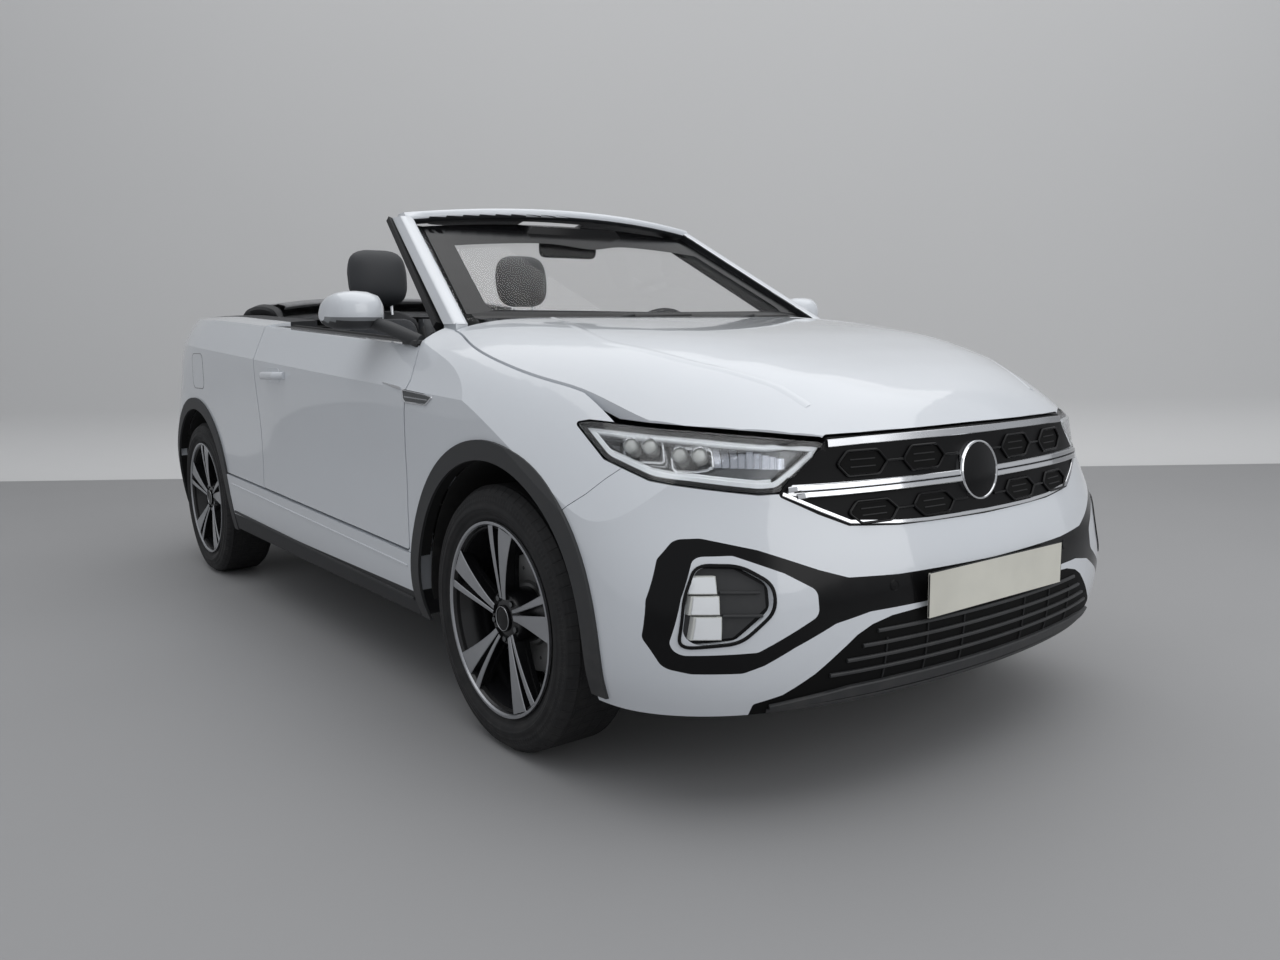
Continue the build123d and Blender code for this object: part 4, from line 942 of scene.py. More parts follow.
def finish_nodes():
    """Gives every CAD node that stays in view its material."""
    for name, finish in NODE_FINISH.items():
        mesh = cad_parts[name].data
        mesh.materials.clear()
        mesh.materials.append(material(finish))


# ---------------------------------------------------------------- headlamps
LAMP = [(0.211, 0.838), (0.180, 0.844), (0.053, 0.834), (-0.053, 0.827), (-0.177, 0.817), (-0.305, 0.804),
        (-0.326, 0.790), (-0.303, 0.764), (-0.257, 0.730), (-0.210, 0.699), (-0.166, 0.698), (-0.041, 0.714),
        (0.059, 0.727), (0.151, 0.765)]


def lens_dome(form, tree, view, centre, radius, sink):
    """Round glass lens in a bright ring, sunk behind the cover."""
    point, _ = cast(tree, view, [centre])[0]
    point = point + view.into * sink
    out = -view.into
    form.turned(point, out, [(radius * 1.22, -0.012), (radius * 1.22, 0.004), (radius * 1.12, 0.008),
                             (radius * 1.02, 0.004), (radius * 1.0, -0.004)], "chrome", 32)
    dome = [(radius * math.cos(a), radius * 0.55 * math.sin(a)) for a in (k * math.pi / 14 for k in range(7))]
    form.turned(point, out, [(radius, -0.008), *dome, (0.001, radius * 0.55)], "lens_white", 32)


def build_headlamps():
    """Clear covers over dark bowls with a bright strip, two lenses and a ribbed side reflector."""
    sizes = bpy.context.scene.suv_lamp
    tree = surface_of("headlamps")
    for label, side in SIDES.items():
        view = lamp_view(side)
        outline = inset(rounded(LAMP, 0.012), 0.002)
        cover = Form()
        cover.patch(tree, view, outline, "lamp_cover", lift=-0.0005, depth=sizes.cover, step=0.012, back=True)
        cover.make(f"headlamp_cover_{label}", "body", replaces=["headlamps"])

        bowl = Form()
        inner = inset(outline, 0.003)
        bowl.patch(tree, view, inset(outline, 0.006), "deep_black", lift=-sizes.bowl, depth=0.002, step=0.02)
        edge = [p + view.into * 0.002 for p, _ in cast(tree, view, spaced(inner, 0.012, True))]
        wall = [p + view.into * (sizes.bowl + 0.004) for p in edge]
        bowl.rings([edge, wall], "gloss_black", ends=False)
        rim = spaced(inset(outline, 0.006), 0.012, True)
        bowl.trim(tree, view, rim, 0.010, 0.003, "gloss_black", closed=True, lift=-0.008)
        bowl.make(f"headlamp_bowl_{label}", "body")

        lights = Form()
        path = inset(rounded(LAMP, 0.02), 0.017)
        lights.trim(tree, view, path, sizes.guide, 0.006, "light_strip", closed=True, lift=-0.014)
        low = [(0.150, 0.788), (0.058, 0.752), (-0.041, 0.738), (-0.166, 0.723), (-0.196, 0.724)]
        lights.trim(tree, view, low, 0.011, 0.006, "light_strip", lift=-0.016)
        for centre in ((0.072, 0.792), (-0.028, 0.777)):
            box = rectangle(0.084, 0.046, 0.010, centre=centre)
            lights.patch(tree, view, box, "gloss_black", lift=-0.024, depth=0.012, step=0.02)
            lights.trim(tree, view, box, 0.005, 0.004, "chrome", closed=True, lift=-0.022)
            for shift in (-0.020, 0.020):
                lens_dome(lights, tree, view, (centre[0] + shift, centre[1]), 0.015, 0.022)
        lights.make(f"headlamp_lights_{label}", "body")

        wing = Form()
        for k in range(9):
            s = -0.085 - 0.017 * k
            top = 0.800 - 0.004 * k
            low_z = 0.752 - 0.001 * k
            box = [(s + 0.0075, low_z), (s + 0.0075, top), (s - 0.0075, top - 0.001), (s - 0.0075, low_z)]
            wing.patch(tree, view, box, "reflector", lift=-0.026 - 0.002 * (k % 2), depth=0.010, step=0.012)
        wing.patch(tree, view, inset(rounded(LAMP, 0.02), 0.024), "dark_chrome", lift=-0.036, depth=0.004,
                   step=0.02)
        wing.make(f"headlamp_reflector_{label}", "body")


# ---------------------------------------------------------------- grille
def grille_half_width(z):
    """Half width of the grille at a height."""
    rows = [(0.606, 0.288), (0.611, 0.300), (0.622, 0.425), (0.651, 0.492), (0.694, 0.572), (0.732, 0.530),
            (0.770, 0.480), (0.812, 0.445)]
    for (z0, y0), (z1, y1) in zip(rows, rows[1:]):
        if z <= z1:
            return y0 + (y1 - y0) * (z - z0) / (z1 - z0)
    return rows[-1][1]


def grille_cell(form, tree, view, centre, width, height, link):
    """One elongated six-sided cell: a deep dark field inside a raised frame."""
    cx, cz = centre
    w, h = width / 2, height / 2
    shape = [(cx - w, cz), (cx - w * 0.62, cz + h), (cx + w * 0.62, cz + h), (cx + w, cz),
             (cx + w * 0.62, cz - h), (cx - w * 0.62, cz - h)]
    form.trim(tree, view, rounded(shape, 0.006, 3), link, 0.006, "gloss_black", closed=True)
    inner = inset(shape, link * 0.9)
    form.patch(tree, view, inner, "deep_black", lift=0.0006, depth=0.001, step=0.03)
    for k in (-0.25, 0.25):
        form.trim(tree, view, [(cx - w * 0.5, cz + h * k * 2 * 0.6), (cx + w * 0.5, cz + h * k * 2 * 0.6)],
                  0.003, 0.002, "seal")


def build_grille():
    """Cells, bright strips and the plain disc of the grille."""
    sizes = bpy.context.scene.suv_grille
    tree = surface_of("grille", "grille_trim")
    for label, side in SIDES.items():
        view = front_view(side)
        form = Form()
        for z, height, first in ((0.751, 0.054, 0.178), (0.647, 0.046, 0.168)):
            y = first
            while y + sizes.pitch * 0.30 < grille_half_width(z) - 0.02:
                wide = min(sizes.pitch * 0.74, 2 * (grille_half_width(z) - 0.016 - y))
                grille_cell(form, tree, view, (y, z), wide, height, sizes.link)
                form.trim(tree, view, [(y - sizes.pitch * 0.63, z), (y - sizes.pitch * 0.37, z)], 0.006,
                          0.004, "gloss_black")
                y += sizes.pitch
        form.make(f"grille_mesh_{label}", "body")

        bright = Form()
        top = [(0.0, 0.8005), (0.20, 0.8005), (0.36, 0.7995), (0.448, 0.797)]
        bright.trim(tree, view, top, 0.017, 0.0045, "satin_chrome")
        for z, tip in ((0.7065, 0.547), (0.6915, 0.530)):
            bright.trim(tree, view, [(0.060, z), (tip - 0.02, z + 0.001), (tip, z - 0.002)], 0.0115, 0.0045,
                        "chrome", lift=0.0035)
        bright.trim(tree, view, [(0.060, 0.699), (0.535, 0.700)], 0.003, 0.002, "gloss_black", lift=0.004)
        lower = [(0.0, 0.6135), (0.200, 0.6150), (0.290, 0.6185), (0.420, 0.630), (0.484, 0.659),
                 (0.560, 0.697)]
        bright.trim(tree, view, lower, 0.009, 0.004, "chrome")
        bright.make(f"grille_strips_{label}", "body")

    centre = cast(tree, front_view(), [(0.0, 0.707)])[0][0]
    disc = Form()
    out = (1, 0, 0.12)
    r = sizes.disc
    disc.turned(centre, out, [(r * 1.02, -0.02), (r * 1.02, 0.006), (r * 0.99, 0.010), (r * 0.94, 0.011),
                              (r * 0.91, 0.008)], "chrome", 64, ends=False)
    disc.turned(centre, out, [(r * 0.92, 0.004), (r * 0.91, 0.009), (r * 0.6, 0.012), (r * 0.3, 0.0135),
                              (0.001, 0.014)], "gloss_black", 64)
    disc.make("grille_disc", "body")


# ---------------------------------------------------------------- lower front
POCKET = [(0.748, 0.560), (0.677, 0.557), (0.623, 0.518), (0.625, 0.467), (0.693, 0.406), (0.790, 0.397),
          (0.775, 0.497)]
SHELL = ("front_bumper", "fog_surrounds", "fog_rings", "lower_grille", "fog_lamps", "grille")
SENSOR = [(0.0125, -0.001), (0.0125, 0.0006), (0.0115, 0.001), (0.0105, 0.0004), (0.010, 0.0010),
          (0.001, 0.0014)]
PLATE_WIDTH = 0.520
# Each plate's face, lower edge, upper edge and the way it faces.
PLATES = {"front": (CAD_BOX[1][0], 0.408, 0.508, 1), "rear": (CAD_BOX[0][0], 0.470, 0.580, -1)}


def build_lower_front():
    """Fog lamp pockets, intake bars, lip, parking sensors and the edges of both plates."""
    tree = surface_of(*SHELL)
    back = surface_of("fog_surrounds")
    for label, side in SIDES.items():
        view = front_view(side)
        pocket = Form()
        pocket.trim(tree, view, rounded(inset(POCKET, -0.003), 0.024, 6), 0.007, 0.003, "gloss_black",
                    closed=True, step=0.01)
        for z in (0.455, 0.502):
            pocket.trim(back, view, [(0.640, z), (0.712, z + 0.003)], 0.006, 0.008, "cladding")
        pocket.patch(back, view, inset([(0.745, 0.556), (0.680, 0.553), (0.628, 0.516), (0.630, 0.470),
                                        (0.696, 0.410), (0.784, 0.402), (0.772, 0.497)], 0.002),
                     "cladding", lift=0.0006, depth=0.001, step=0.02)
        pocket.make(f"fog_pocket_{label}", "body")

        lamp = Form()
        for low, high in ((0.410, 0.458), (0.462, 0.500), (0.504, 0.540)):
            box = [(0.724, low + 0.002), (0.768, low + 0.002), (0.761, high - 0.002), (0.722, high - 0.002)]
            lamp.patch(tree, view, box, "light_strip", lift=0.002, depth=0.003, step=0.012)
        lamp.make(f"fog_lamp_lens_{label}", "body")

        band = Form()
        for z in (0.312, 0.340, 0.368, 0.396):
            band.trim(tree, view, [(0.0, z), (0.50 - (z - 0.312) * 1.35, z)], 0.008, 0.006, "cladding")
        lip = [(0.0, 0.268), (0.30, 0.268), (0.45, 0.266), (0.56, 0.259), (0.618, 0.253)]
        band.trim(tree, view, lip, 0.030, 0.008, "cladding", scale=lambda t: min(1.0, 2.4 - 2.0 * t))
        band.trim(tree, view, [(0.0, 0.243), (0.30, 0.243), (0.50, 0.243), (0.62, 0.243)], 0.010, 0.004,
                  "cladding")
        for y in (0.12, 0.24, 0.36):
            band.trim(tree, view, [(y, 0.285), (y, 0.408 - max(0.0, y - 0.30) * 0.5)], 0.004, 0.004, "seal")
        band.make(f"intake_bars_{label}", "body")

        dots = Form()
        bumpers = surface_of("front_bumper", "rear_bumper", "rear_diffuser")
        for shell, which, spot, finish in ((tree, view, (0.335, 0.487), "gloss_black"),
                                           (bumpers, side_view(side), (1.700, 0.487), "paint"),
                                           (bumpers, rear_view(side), (0.34, 0.50), "paint"),
                                           (bumpers, side_view(side), (-1.80, 0.52), "paint")):
            place, out = cast(shell, which, [spot])[0]
            dots.turned(place, out, SENSOR, finish, 24)
        dots.make(f"parking_sensors_{label}", "body")

    for name, (x, low, high, out) in PLATES.items():
        plate = Form()
        edge = rectangle(PLATE_WIDTH, high - low, 0.008, centre=(0, (low + high) / 2))
        line = [(Vector((x - out * 0.0012, y, z)), X * out) for y, z in edge]
        plate.bar(line, mirrored([(0.002, -0.001), (0.002, 0.001)]), "seal", closed=True)
        plate.make(f"plate_edge_{name}", "body")


# ---------------------------------------------------------------- wheels
FIRST_SPOKE, FIRST_BOLT = math.radians(93), math.radians(57)
BOLTS, BOLT_CIRCLE = 5, 0.054
SPOKE_FROM, SPOKE_TO = 0.050, 0.2365
FACE_AT_RIM, FACE_RADIUS = 0.096, 0.225


def wheel_face(radius):
    """How far out of the wheel's middle plane the spokes' faces stand."""
    dish = bpy.context.scene.suv_wheel.dish
    return FACE_AT_RIM - dish * (1 - min(1.0, radius / FACE_RADIUS)) ** 1.6


def blade(form, at, turn, inner, outer, finish):
    """One spoke blade: machined face, dark flanks. inner and outer are its two edges at hub and rim."""
    depth = bpy.context.scene.suv_wheel.spoke_depth
    rows = []

    def reach(radius, edge, t):
        return radius + (math.sqrt(radius**2 - edge**2) - radius) * t

    for radius in [SPOKE_FROM + (SPOKE_TO - SPOKE_FROM) * k / 12 for k in range(13)]:
        t = (radius - SPOKE_FROM) / (SPOKE_TO - SPOKE_FROM)
        grow = t**1.25
        a = inner[0] + (outer[0] - inner[0]) * grow
        b = inner[1] + (outer[1] - inner[1]) * grow
        chamfer = min(0.0015, (b - a) * 0.2)
        far_a, far_b = reach(radius, a, t), reach(radius, b, t)
        face = wheel_face(radius)
        deep = face - depth * (1.15 - 0.45 * t)
        rows.append([at(far_a, a + 0.004, deep, turn), at(far_a, a, face - chamfer, turn),
                     at(far_a, a + chamfer, face, turn), at(far_b, b - chamfer, face, turn),
                     at(far_b, b, face - chamfer, turn), at(far_b, b - 0.004, deep, turn)])
    count = len(rows)
    points = [p for row in rows for p in row]
    bright, dark = [], []
    for i in range(count - 1):
        for j in range(6):
            k = (j + 1) % 6
            quad = (i * 6 + j, i * 6 + k, (i + 1) * 6 + k, (i + 1) * 6 + j)
            (bright if j in (1, 2, 3) else dark).append(quad)
    dark += [tuple(range(6))[::-1], tuple((count - 1) * 6 + j for j in range(6))]
    form.add(points, bright, finish)
    form.add(points, dark, "wheel_black")


def build_wheel(end, label):
    """Rim with twin spokes, hub, bolts and brake disc."""
    sizes = bpy.context.scene.suv_wheel
    side = SIDES[label]
    centre = Vector((AXLES[end], WHEEL_Y * side, HUB_Z))
    out = Vector((0, side, 0))
    alloy = f"alloy_{end}"
    ahead = X * side

    def at(radius, across, outward, turn):
        """Point of the wheel from its radius, place across the spoke and distance outwards."""
        spoke = ahead * math.cos(turn) + Z * math.sin(turn)
        beside = Z * math.cos(turn) - ahead * math.sin(turn)
        return centre + spoke * radius + beside * across + out * outward

    rim = Form()
    rim.turned(centre, out, [(0.2466, 0.0935), (0.2466, 0.1005), (0.2440, 0.1012), (0.2400, 0.1005),
                             (0.2370, 0.0960)], alloy, 96, ends=False)
    barrel = [(0.2370, 0.0960), (0.2330, 0.0900), (0.2290, 0.0800), (0.2180, 0.0560), (0.2080, 0.0200),
              (0.2060, -0.0500), (0.2160, -0.0880), (0.2380, -0.1000), (0.2460, -0.1010), (0.2466, -0.0940),
              (0.2340, -0.0880), (0.2290, -0.0800)]
    rim.turned(centre, out, barrel, "wheel_black", 96, ends=False)
    for way in turns(sizes.spokes):
        turn = FIRST_SPOKE + way
        blade(rim, at, turn, (-0.018, -0.0085), (-0.046, -0.025), alloy)
        blade(rim, at, turn, (-0.0045, 0.0105), (0.006, 0.070), alloy)
        depth = sizes.spoke_depth
        rows = []
        near, far = 0.045, 0.222
        for radius in [near + (far - near) * n / 8 for n in range(9)]:
            t = (radius - near) / (far - near)
            a, b = -0.016 - 0.029 * t**1.25, 0.008 + 0.056 * t**1.25
            low = wheel_face(radius) - depth * (1.35 - 0.45 * t)
            rows.append([at(radius, a, low, turn), at(radius, a, low + 0.012, turn),
                         at(radius, b, low + 0.012, turn), at(radius, b, low, turn)])
        rim.rings(rows, "wheel_black")
    face = wheel_face(0.05)
    rim.turned(centre, out, [(0.070, -0.010), (0.072, face - 0.020), (0.066, face - 0.008),
                             (0.046, face - 0.007), (0.040, face - 0.004), (0.0375, face - 0.004)],
               "wheel_black", 60)
    rim.make(f"wheel_{end}_{label}", f"wheel_{end}_{label}", sharp=30, replaces=[f"rim_{end}_{label}"])

    hub = Form()
    hub.turned(centre, out, [(0.0335, face - 0.012), (0.0335, face + 0.001), (0.0325, face + 0.0025),
                             (0.0300, face + 0.0028), (0.0290, face + 0.0012), (0.015, face + 0.0020),
                             (0.001, face + 0.0022)], "gloss_black", 48)
    hub.turned(centre, out, [(0.0312, face + 0.0024), (0.0308, face + 0.0033), (0.0298, face + 0.0033),
                             (0.0295, face + 0.0024)], "satin_chrome", 48, ends=False)
    for way in turns(BOLTS):
        spot = at(BOLT_CIRCLE, 0, face - 0.022, FIRST_BOLT + way)
        hub.turned(spot, out, [(0.011, 0.0), (0.011, 0.006), (0.0085, 0.008), (0.0085, 0.018),
                               (0.0075, 0.020), (0.001, 0.020)], "dark_chrome", 6)
    hub.turned(centre, out, [(0.150, -0.026), (0.150, -0.006), (0.148, -0.005), (0.084, -0.005),
                             (0.078, 0.002), (0.060, 0.004), (0.060, -0.026)], "brake_disc", 64)
    for k in range(10):
        turn = math.radians(36 * k)
        hub.turned(at(0.116, 0, -0.0062, turn), out, [(0.0045, 0.0), (0.0045, 0.0016), (0.0038, 0.0018),
                                                      (0.001, 0.0010)], "deep_black", 10)
    hub.make(f"wheel_hub_{end}_{label}", f"wheel_{end}_{label}", sharp=30)

    caliper = Form()
    lean = math.radians(205 if end == "front" else 20)
    body = []
    for k in range(9):
        a = lean - 0.42 + 0.84 * k / 8
        shape = ((0.088, -0.034), (0.160, -0.034), (0.163, 0.006), (0.150, 0.016), (0.104, 0.014),
                 (0.088, 0.004))
        body.append([centre + (X * math.cos(a) + Z * math.sin(a)) * r + out * y for r, y in shape])
    caliper.rings(body, "caliper")
    caliper.make(f"caliper_{end}_{label}", f"knuckle_{label}" if end == "front" else "body", sharp=30)


# ---------------------------------------------------------------- outside trim
def build_door_handles():
    """Bowed grip handles over a shallow cup."""
    for label, side in SIDES.items():
        tree = surface_of(f"door_{label}")
        view = side_view(side)
        form = Form()
        path = [(-0.315, 0.9075), (-0.100, 0.9105)]
        line = evened(cast(tree, view, spaced(path, 0.008)))
        count = len(line)
        rings = []
        for i, (point, normal) in enumerate(line):
            t = i / (count - 1)
            arc = math.sin(math.pi * min(max((t - 0.02) / 0.96, 0), 1))
            lift = 0.004 + 0.023 * min(1.0, arc * 1.9) ** 0.8
            high, thick = 0.0125 + 0.0015 * math.sin(math.pi * t), 0.0075
            centre = point + normal * lift
            rings.append([centre + Z * high * math.cos(a)
                          + normal * thick * math.sin(a) * (1.0 if math.sin(a) > 0 else 0.6)
                          for a in turns(14)])
        form.rings(rings, "door_paint")
        cup = rectangle(0.118, 0.050, 0.024, centre=(-0.214, 0.909))
        form.patch(tree, view, cup, "door_paint", lift=0.0006, depth=0.001, step=0.02)
        form.trim(tree, view, cup, 0.003, 0.0012, "door_paint", closed=True, step=0.008)
        form.make(f"door_handle_{label}", f"door_{label}")


def build_flank_trim():
    """Wing badge place, bright strip, belt seals and fuel flap."""
    for label, side in SIDES.items():
        view = side_view(side)
        wing = Form()
        tree = surface_of("front_fenders")
        shape = [(0.8525, 0.893), (0.985, 0.8845), (1.026, 0.8785), (0.985, 0.8565), (0.870, 0.8590),
                 (0.8525, 0.8660)]
        wing.patch(tree, view, inset(shape, 0.003), "dark_chrome", lift=0.0012, depth=0.002, step=0.012)
        wing.trim(tree, view, rounded(shape, 0.006, 3), 0.0045, 0.0035, "chrome", closed=True, step=0.006)
        wing.trim(tree, view, [(0.862, 0.8740), (0.998, 0.8700)], 0.0035, 0.0025, "satin_chrome", step=0.01)
        wing.make(f"wing_badge_place_{label}", "body")

        strip = Form()
        tree = surface_of(f"door_{label}")
        strip.trim(tree, view, [(0.715, 0.9085), (0.760, 0.9035), (0.838, 0.8955)], 0.0075, 0.0028, "chrome",
                   step=0.008, scale=lambda t: 0.25 + 0.75 * min(1.0, t * 1.6))
        strip.make(f"door_strip_{label}", f"door_{label}")

        seal = Form()
        inner = [(x / 100, 0.735) for x in range(-43, 80, 3)]
        line = cast(tree, top_view(side), inner)
        seal.bar(evened(line), mirrored([(0.010, -0.002), (0.006, 0.006)]), "seal")
        seal.make(f"belt_seals_{label}", f"door_{label}")

    flap = Form()
    outline = rectangle(0.172, 0.150, 0.035, centre=(-1.255, 0.905))
    tree = surface_of("rear_quarters")
    flap.trim(tree, side_view(-1), outline, 0.0022, 0.0004, "seam", closed=True, step=0.008)
    flap.patch(tree, side_view(-1), inset(outline, 0.0022), "quarter_paint", lift=0.0004, depth=0.0006,
               step=0.02)
    flap.make("fuel_flap", "body")


def build_sill_trim():
    """Moulded lower edge and step line of each sill."""
    tree = surface_of("sills")
    for label, side in SIDES.items():
        view = side_view(side)
        form = Form()
        form.trim(tree, view, [(0.84, 0.300), (0.0, 0.317), (-0.86, 0.334)], 0.010, 0.004, "cladding")
        form.trim(tree, view, [(0.83, 0.396), (0.0, 0.424), (-0.84, 0.452)], 0.006, 0.0025, "sill_paint")
        form.make(f"sill_trim_{label}", "body")


def build_mirrors():
    """Door mirrors: painted cap, lamp strip, dark lower shell and arm, and the glass."""
    for label, side in SIDES.items():
        form = Form()
        sections = [(0.822, 0.40, 0.020), (0.832, 0.66, 0.010), (0.850, 0.86, 0.004), (0.882, 0.97, 0.001),
                    (0.915, 1.0, 0.0), (0.946, 0.98, 0.001), (0.968, 0.90, 0.003), (0.982, 0.77, 0.006),
                    (0.990, 0.58, 0.010), (0.9925, 0.32, 0.015)]
        rear_x, mid_z = 0.526, 1.108

        def outline(y, grow, shift):
            """One section of the housing, from the crease over the cap and back underneath."""
            points = []
            for a in turns(28):
                c, s = math.cos(a), math.sin(a)
                x = rear_x + 0.146 * grow * max(0.0, 0.5 + 0.5 * math.copysign(abs(c) ** 0.75, c)) ** 0.9
                up = 0.062 if s > 0 else 0.050
                z = mid_z - shift * 0.4 + up * grow * math.copysign(abs(s) ** 0.82, s)
                points.append(Vector((x, y * side, z)))
            return points

        rings = [outline(*row) for row in sections]
        count = len(rings[0])
        points = [p for ring in rings for p in ring]
        upper, lower, strip = [], [], []
        for i in range(len(rings) - 1):
            for j in range(count):
                k = (j + 1) % count
                quad = (i * count + j, i * count + k, (i + 1) * count + k, (i + 1) * count + j)
                z = sum(points[n].z for n in quad) / 4
                x = sum(points[n].x for n in quad) / 4
                (lower if z < 1.082 else strip if z < 1.096 and x > 0.550 and i > 1 else upper).append(quad)
        upper += [tuple(range(count))[::-1], tuple((len(rings) - 1) * count + j for j in range(count))]
        form.add(points, upper, "paint")
        form.add(points, lower, "cladding")
        form.add(points, strip, "smoke")
        arm, tall = [], 0.020
        ahead = Vector((-0.87, 0.42 * side, 0.28)).normalized()
        beside = Vector((0.42, 0.87 * side, 0))
        upward = ahead.cross(beside).normalized()
        for x, y, z, wide in ((0.838, 0.822, 1.0215, 0.018), (0.780, 0.838, 1.040, 0.020),
                              (0.700, 0.852, 1.062, 0.024), (0.620, 0.866, 1.078, 0.028)):
            arm.append([Vector((x, y * side, z)) + beside * wide * math.cos(a) + upward * tall * math.sin(a)
                        for a in turns(12)])
        form.rings(arm, "cladding")
        foot_z = 1.0155
        form.slab((0.800, 0.826 * side, foot_z), X, Y, rectangle(0.092, 0.036, 0.014), 0.012, "cladding",
                  0.003)
        form.make(f"door_mirror_{label}", f"door_{label}", sharp=40, replaces=[f"mirror_{label}"])

        glass_piece = Form()
        flat = rectangle(0.132, 0.084, 0.028, centre=(0.908, mid_z + 0.006))
        facing = Y * -1
        glass_piece.slab((rear_x + 0.0015, 0, 0), facing, Z, [(-y * side, z) for y, z in flat], 0.004,
                         "cladding", 0.001)
        glass_piece.slab((rear_x - 0.0020, 0, 0), facing, Z, [(-y * side, z) for y, z in inset(flat, 0.004)],
                         0.002, "mirror_glass", 0.0005)
        glass_piece.make(f"door_mirror_glass_{label}", f"door_{label}")


def build_pillar_seals():
    """Seals along the pillars, and the small panel at the foot of each, which rides on its door."""
    for label, side in SIDES.items():
        form = Form()
        base, top = Vector((0.792, 0.738 * side, 1.062)), Vector((0.208, 0.606 * side, 1.418))
        line = []
        for k in range(25):
            p = base.lerp(top, k / 24)
            line.append((p, Vector((-0.55, 0.25 * side, -0.80)).normalized()))
        form.bar(line, mirrored([(0.020, -0.012), (0.020, 0.006), (0.008, 0.014)]), "seal")
        sail = [(0.826, 1.020), (0.806, 1.066), (0.740, 1.034), (0.735, 1.020)]
        form.make(f"pillar_seal_{label}", "body")
        foot = Form()
        foot.slab((0, 0.792 * side, 0), X, Z, sail, 0.010, "seal", 0.003)
        foot.make(f"mirror_sail_{label}", f"door_{label}")


def build_screen_border():
    """Dark border printed round the glass, with a wider field behind the inner mirror."""
    glass_tree, view = surface_of("windscreen"), front_view()
    border = Form()
    cover = []
    for k in range(41):
        y = -0.56 + 1.12 * k / 40
        cover.append((y, 1.395 + 0.028 * (1 - (y / 0.56) ** 2)))
    low_edge = [(y, z - 0.074 - 0.020 * math.exp(-(y / 0.10) ** 2)) for y, z in cover[::-1]]
    border.patch(glass_tree, view, cover + low_edge, "gloss_black", lift=0.0008, depth=0.0006, step=0.025)
    foot = [(-0.66 + 1.32 * k / 30, 1.086) for k in range(31)]
    top_foot = [(y, 1.104 + 0.012 * abs(y)) for y, _ in foot[::-1]]
    border.patch(glass_tree, view, foot + top_foot, "gloss_black", lift=0.0008, depth=0.0006, step=0.03)
    for side in (-1, 1):
        strip = [(0.674 * side, 1.098), (0.552 * side, 1.392), (0.500 * side, 1.385), (0.505 * side, 1.330),
                 (0.590 * side, 1.130), (0.585 * side, 1.108)]
        border.patch(glass_tree, view, strip, "gloss_black", lift=0.0008, depth=0.0006, step=0.02)
    border.make("screen_border", "body")


def build_pillar_linings():
    """Dark lining on the cabin side of each pillar."""
    for label, side in SIDES.items():
        trim = Form()
        foot, head = Vector((0.822, 0.660 * side, 1.058)), Vector((0.226, 0.528 * side, 1.406))
        line = [(foot.lerp(head, k / 12), Vector((-0.51, 0, -0.86))) for k in range(13)]
        trim.bar(line, mirrored([(0.040, -0.002), (0.040, 0.004), (0.028, 0.012)]), "cladding")
        trim.make(f"pillar_lining_{label}", "body")


def build_wipers():
    """Both wipers, and the slots of the cowl below them."""
    glass_tree, view = surface_of("windscreen"), front_view()
    wipers = Form()
    for pivot, reach, lean in ((-0.46, 0.56, 0.012), (0.10, 0.50, 0.012)):
        start = Vector((0.958 - 0.10 * abs(pivot), pivot, 1.052))
        blade_line = []
        for k in range(15):
            t = k / 14
            y = pivot + reach * t
            hit = cast(glass_tree, view, [(y, 1.087 + lean * t)])[0]
            blade_line.append((hit[0] + hit[1] * 0.012 - Z * 0.016, hit[1]))
        wipers.bar(evened(blade_line), mirrored([(0.004, -0.009), (0.006, 0.0), (0.003, 0.004)]), "seal")
        mid = blade_line[8][0] + Vector((0.006, 0, 0.006))
        wipers.tube([start, start.lerp(mid, 0.5) + Vector((0.006, 0, 0.006)), mid], 0.005, "cladding", 8)
        wipers.turned(start - Z * 0.010, Z, [(0.013, 0), (0.013, 0.010), (0.009, 0.018), (0.001, 0.019)],
                      "cladding", 20)
    wipers.make("wipers", "body")

    cowl = Form()
    for k in range(26):
        y = -0.50 + 0.04 * k
        x = 0.968 - 0.06 * abs(y)
        cowl.slab((x, y, 1.0418), X, Y, rectangle(0.026, 0.010, 0.004), 0.0025, "deep_black", 0.0008)
    cowl.make("cowl_slots", "body")


def build_sun_visors():
    """Two sun visors folded up against the windscreen frame."""
    visors = Form()
    for side in (-1, 1):
        flat = rectangle(0.34, 0.120, 0.03)
        visors.pillow((0.225, 0.300 * side, 1.432), Vector((0, 1, 0)), Vector((-0.98, 0, -0.20)), flat, 0.014,
                      "canvas_lining", 0.006, crown=0.002)
    visors.make("sun_visors", "body")


def build_inner_mirror():
    """Inner mirror: housing, stem and foot on the glass, and the mirror's face."""
    housing = Form()
    housing.pillow((0.334, 0, 1.342), Y, Z, rectangle(0.236, 0.066, 0.026), 0.024, "gloss_black", 0.010)
    root, outward = cast(surface_of("windscreen"), front_view(), [(0.0, 1.376)])[0]
    root -= outward * 0.008
    housing.turned(root, -outward, [(0.046, 0), (0.044, 0.010), (0.026, 0.020), (0.001, 0.021)],
                   "gloss_black", 28)
    stem = [Vector((0.352, 0, 1.342)), Vector((0.378, 0, 1.356)), root - outward * 0.016]
    housing.tube(stem, 0.012, "gloss_black", 14)
    housing.make("inner_mirror_housing", "body", replaces=["interior_mirror"])
    mirror = Form()
    mirror.slab((0.334, 0, 1.342), Y * -1, Z, rectangle(0.220, 0.054, 0.020), 0.002, "mirror_glass", 0.0005)
    mirror.make("inner_mirror_glass", "body")


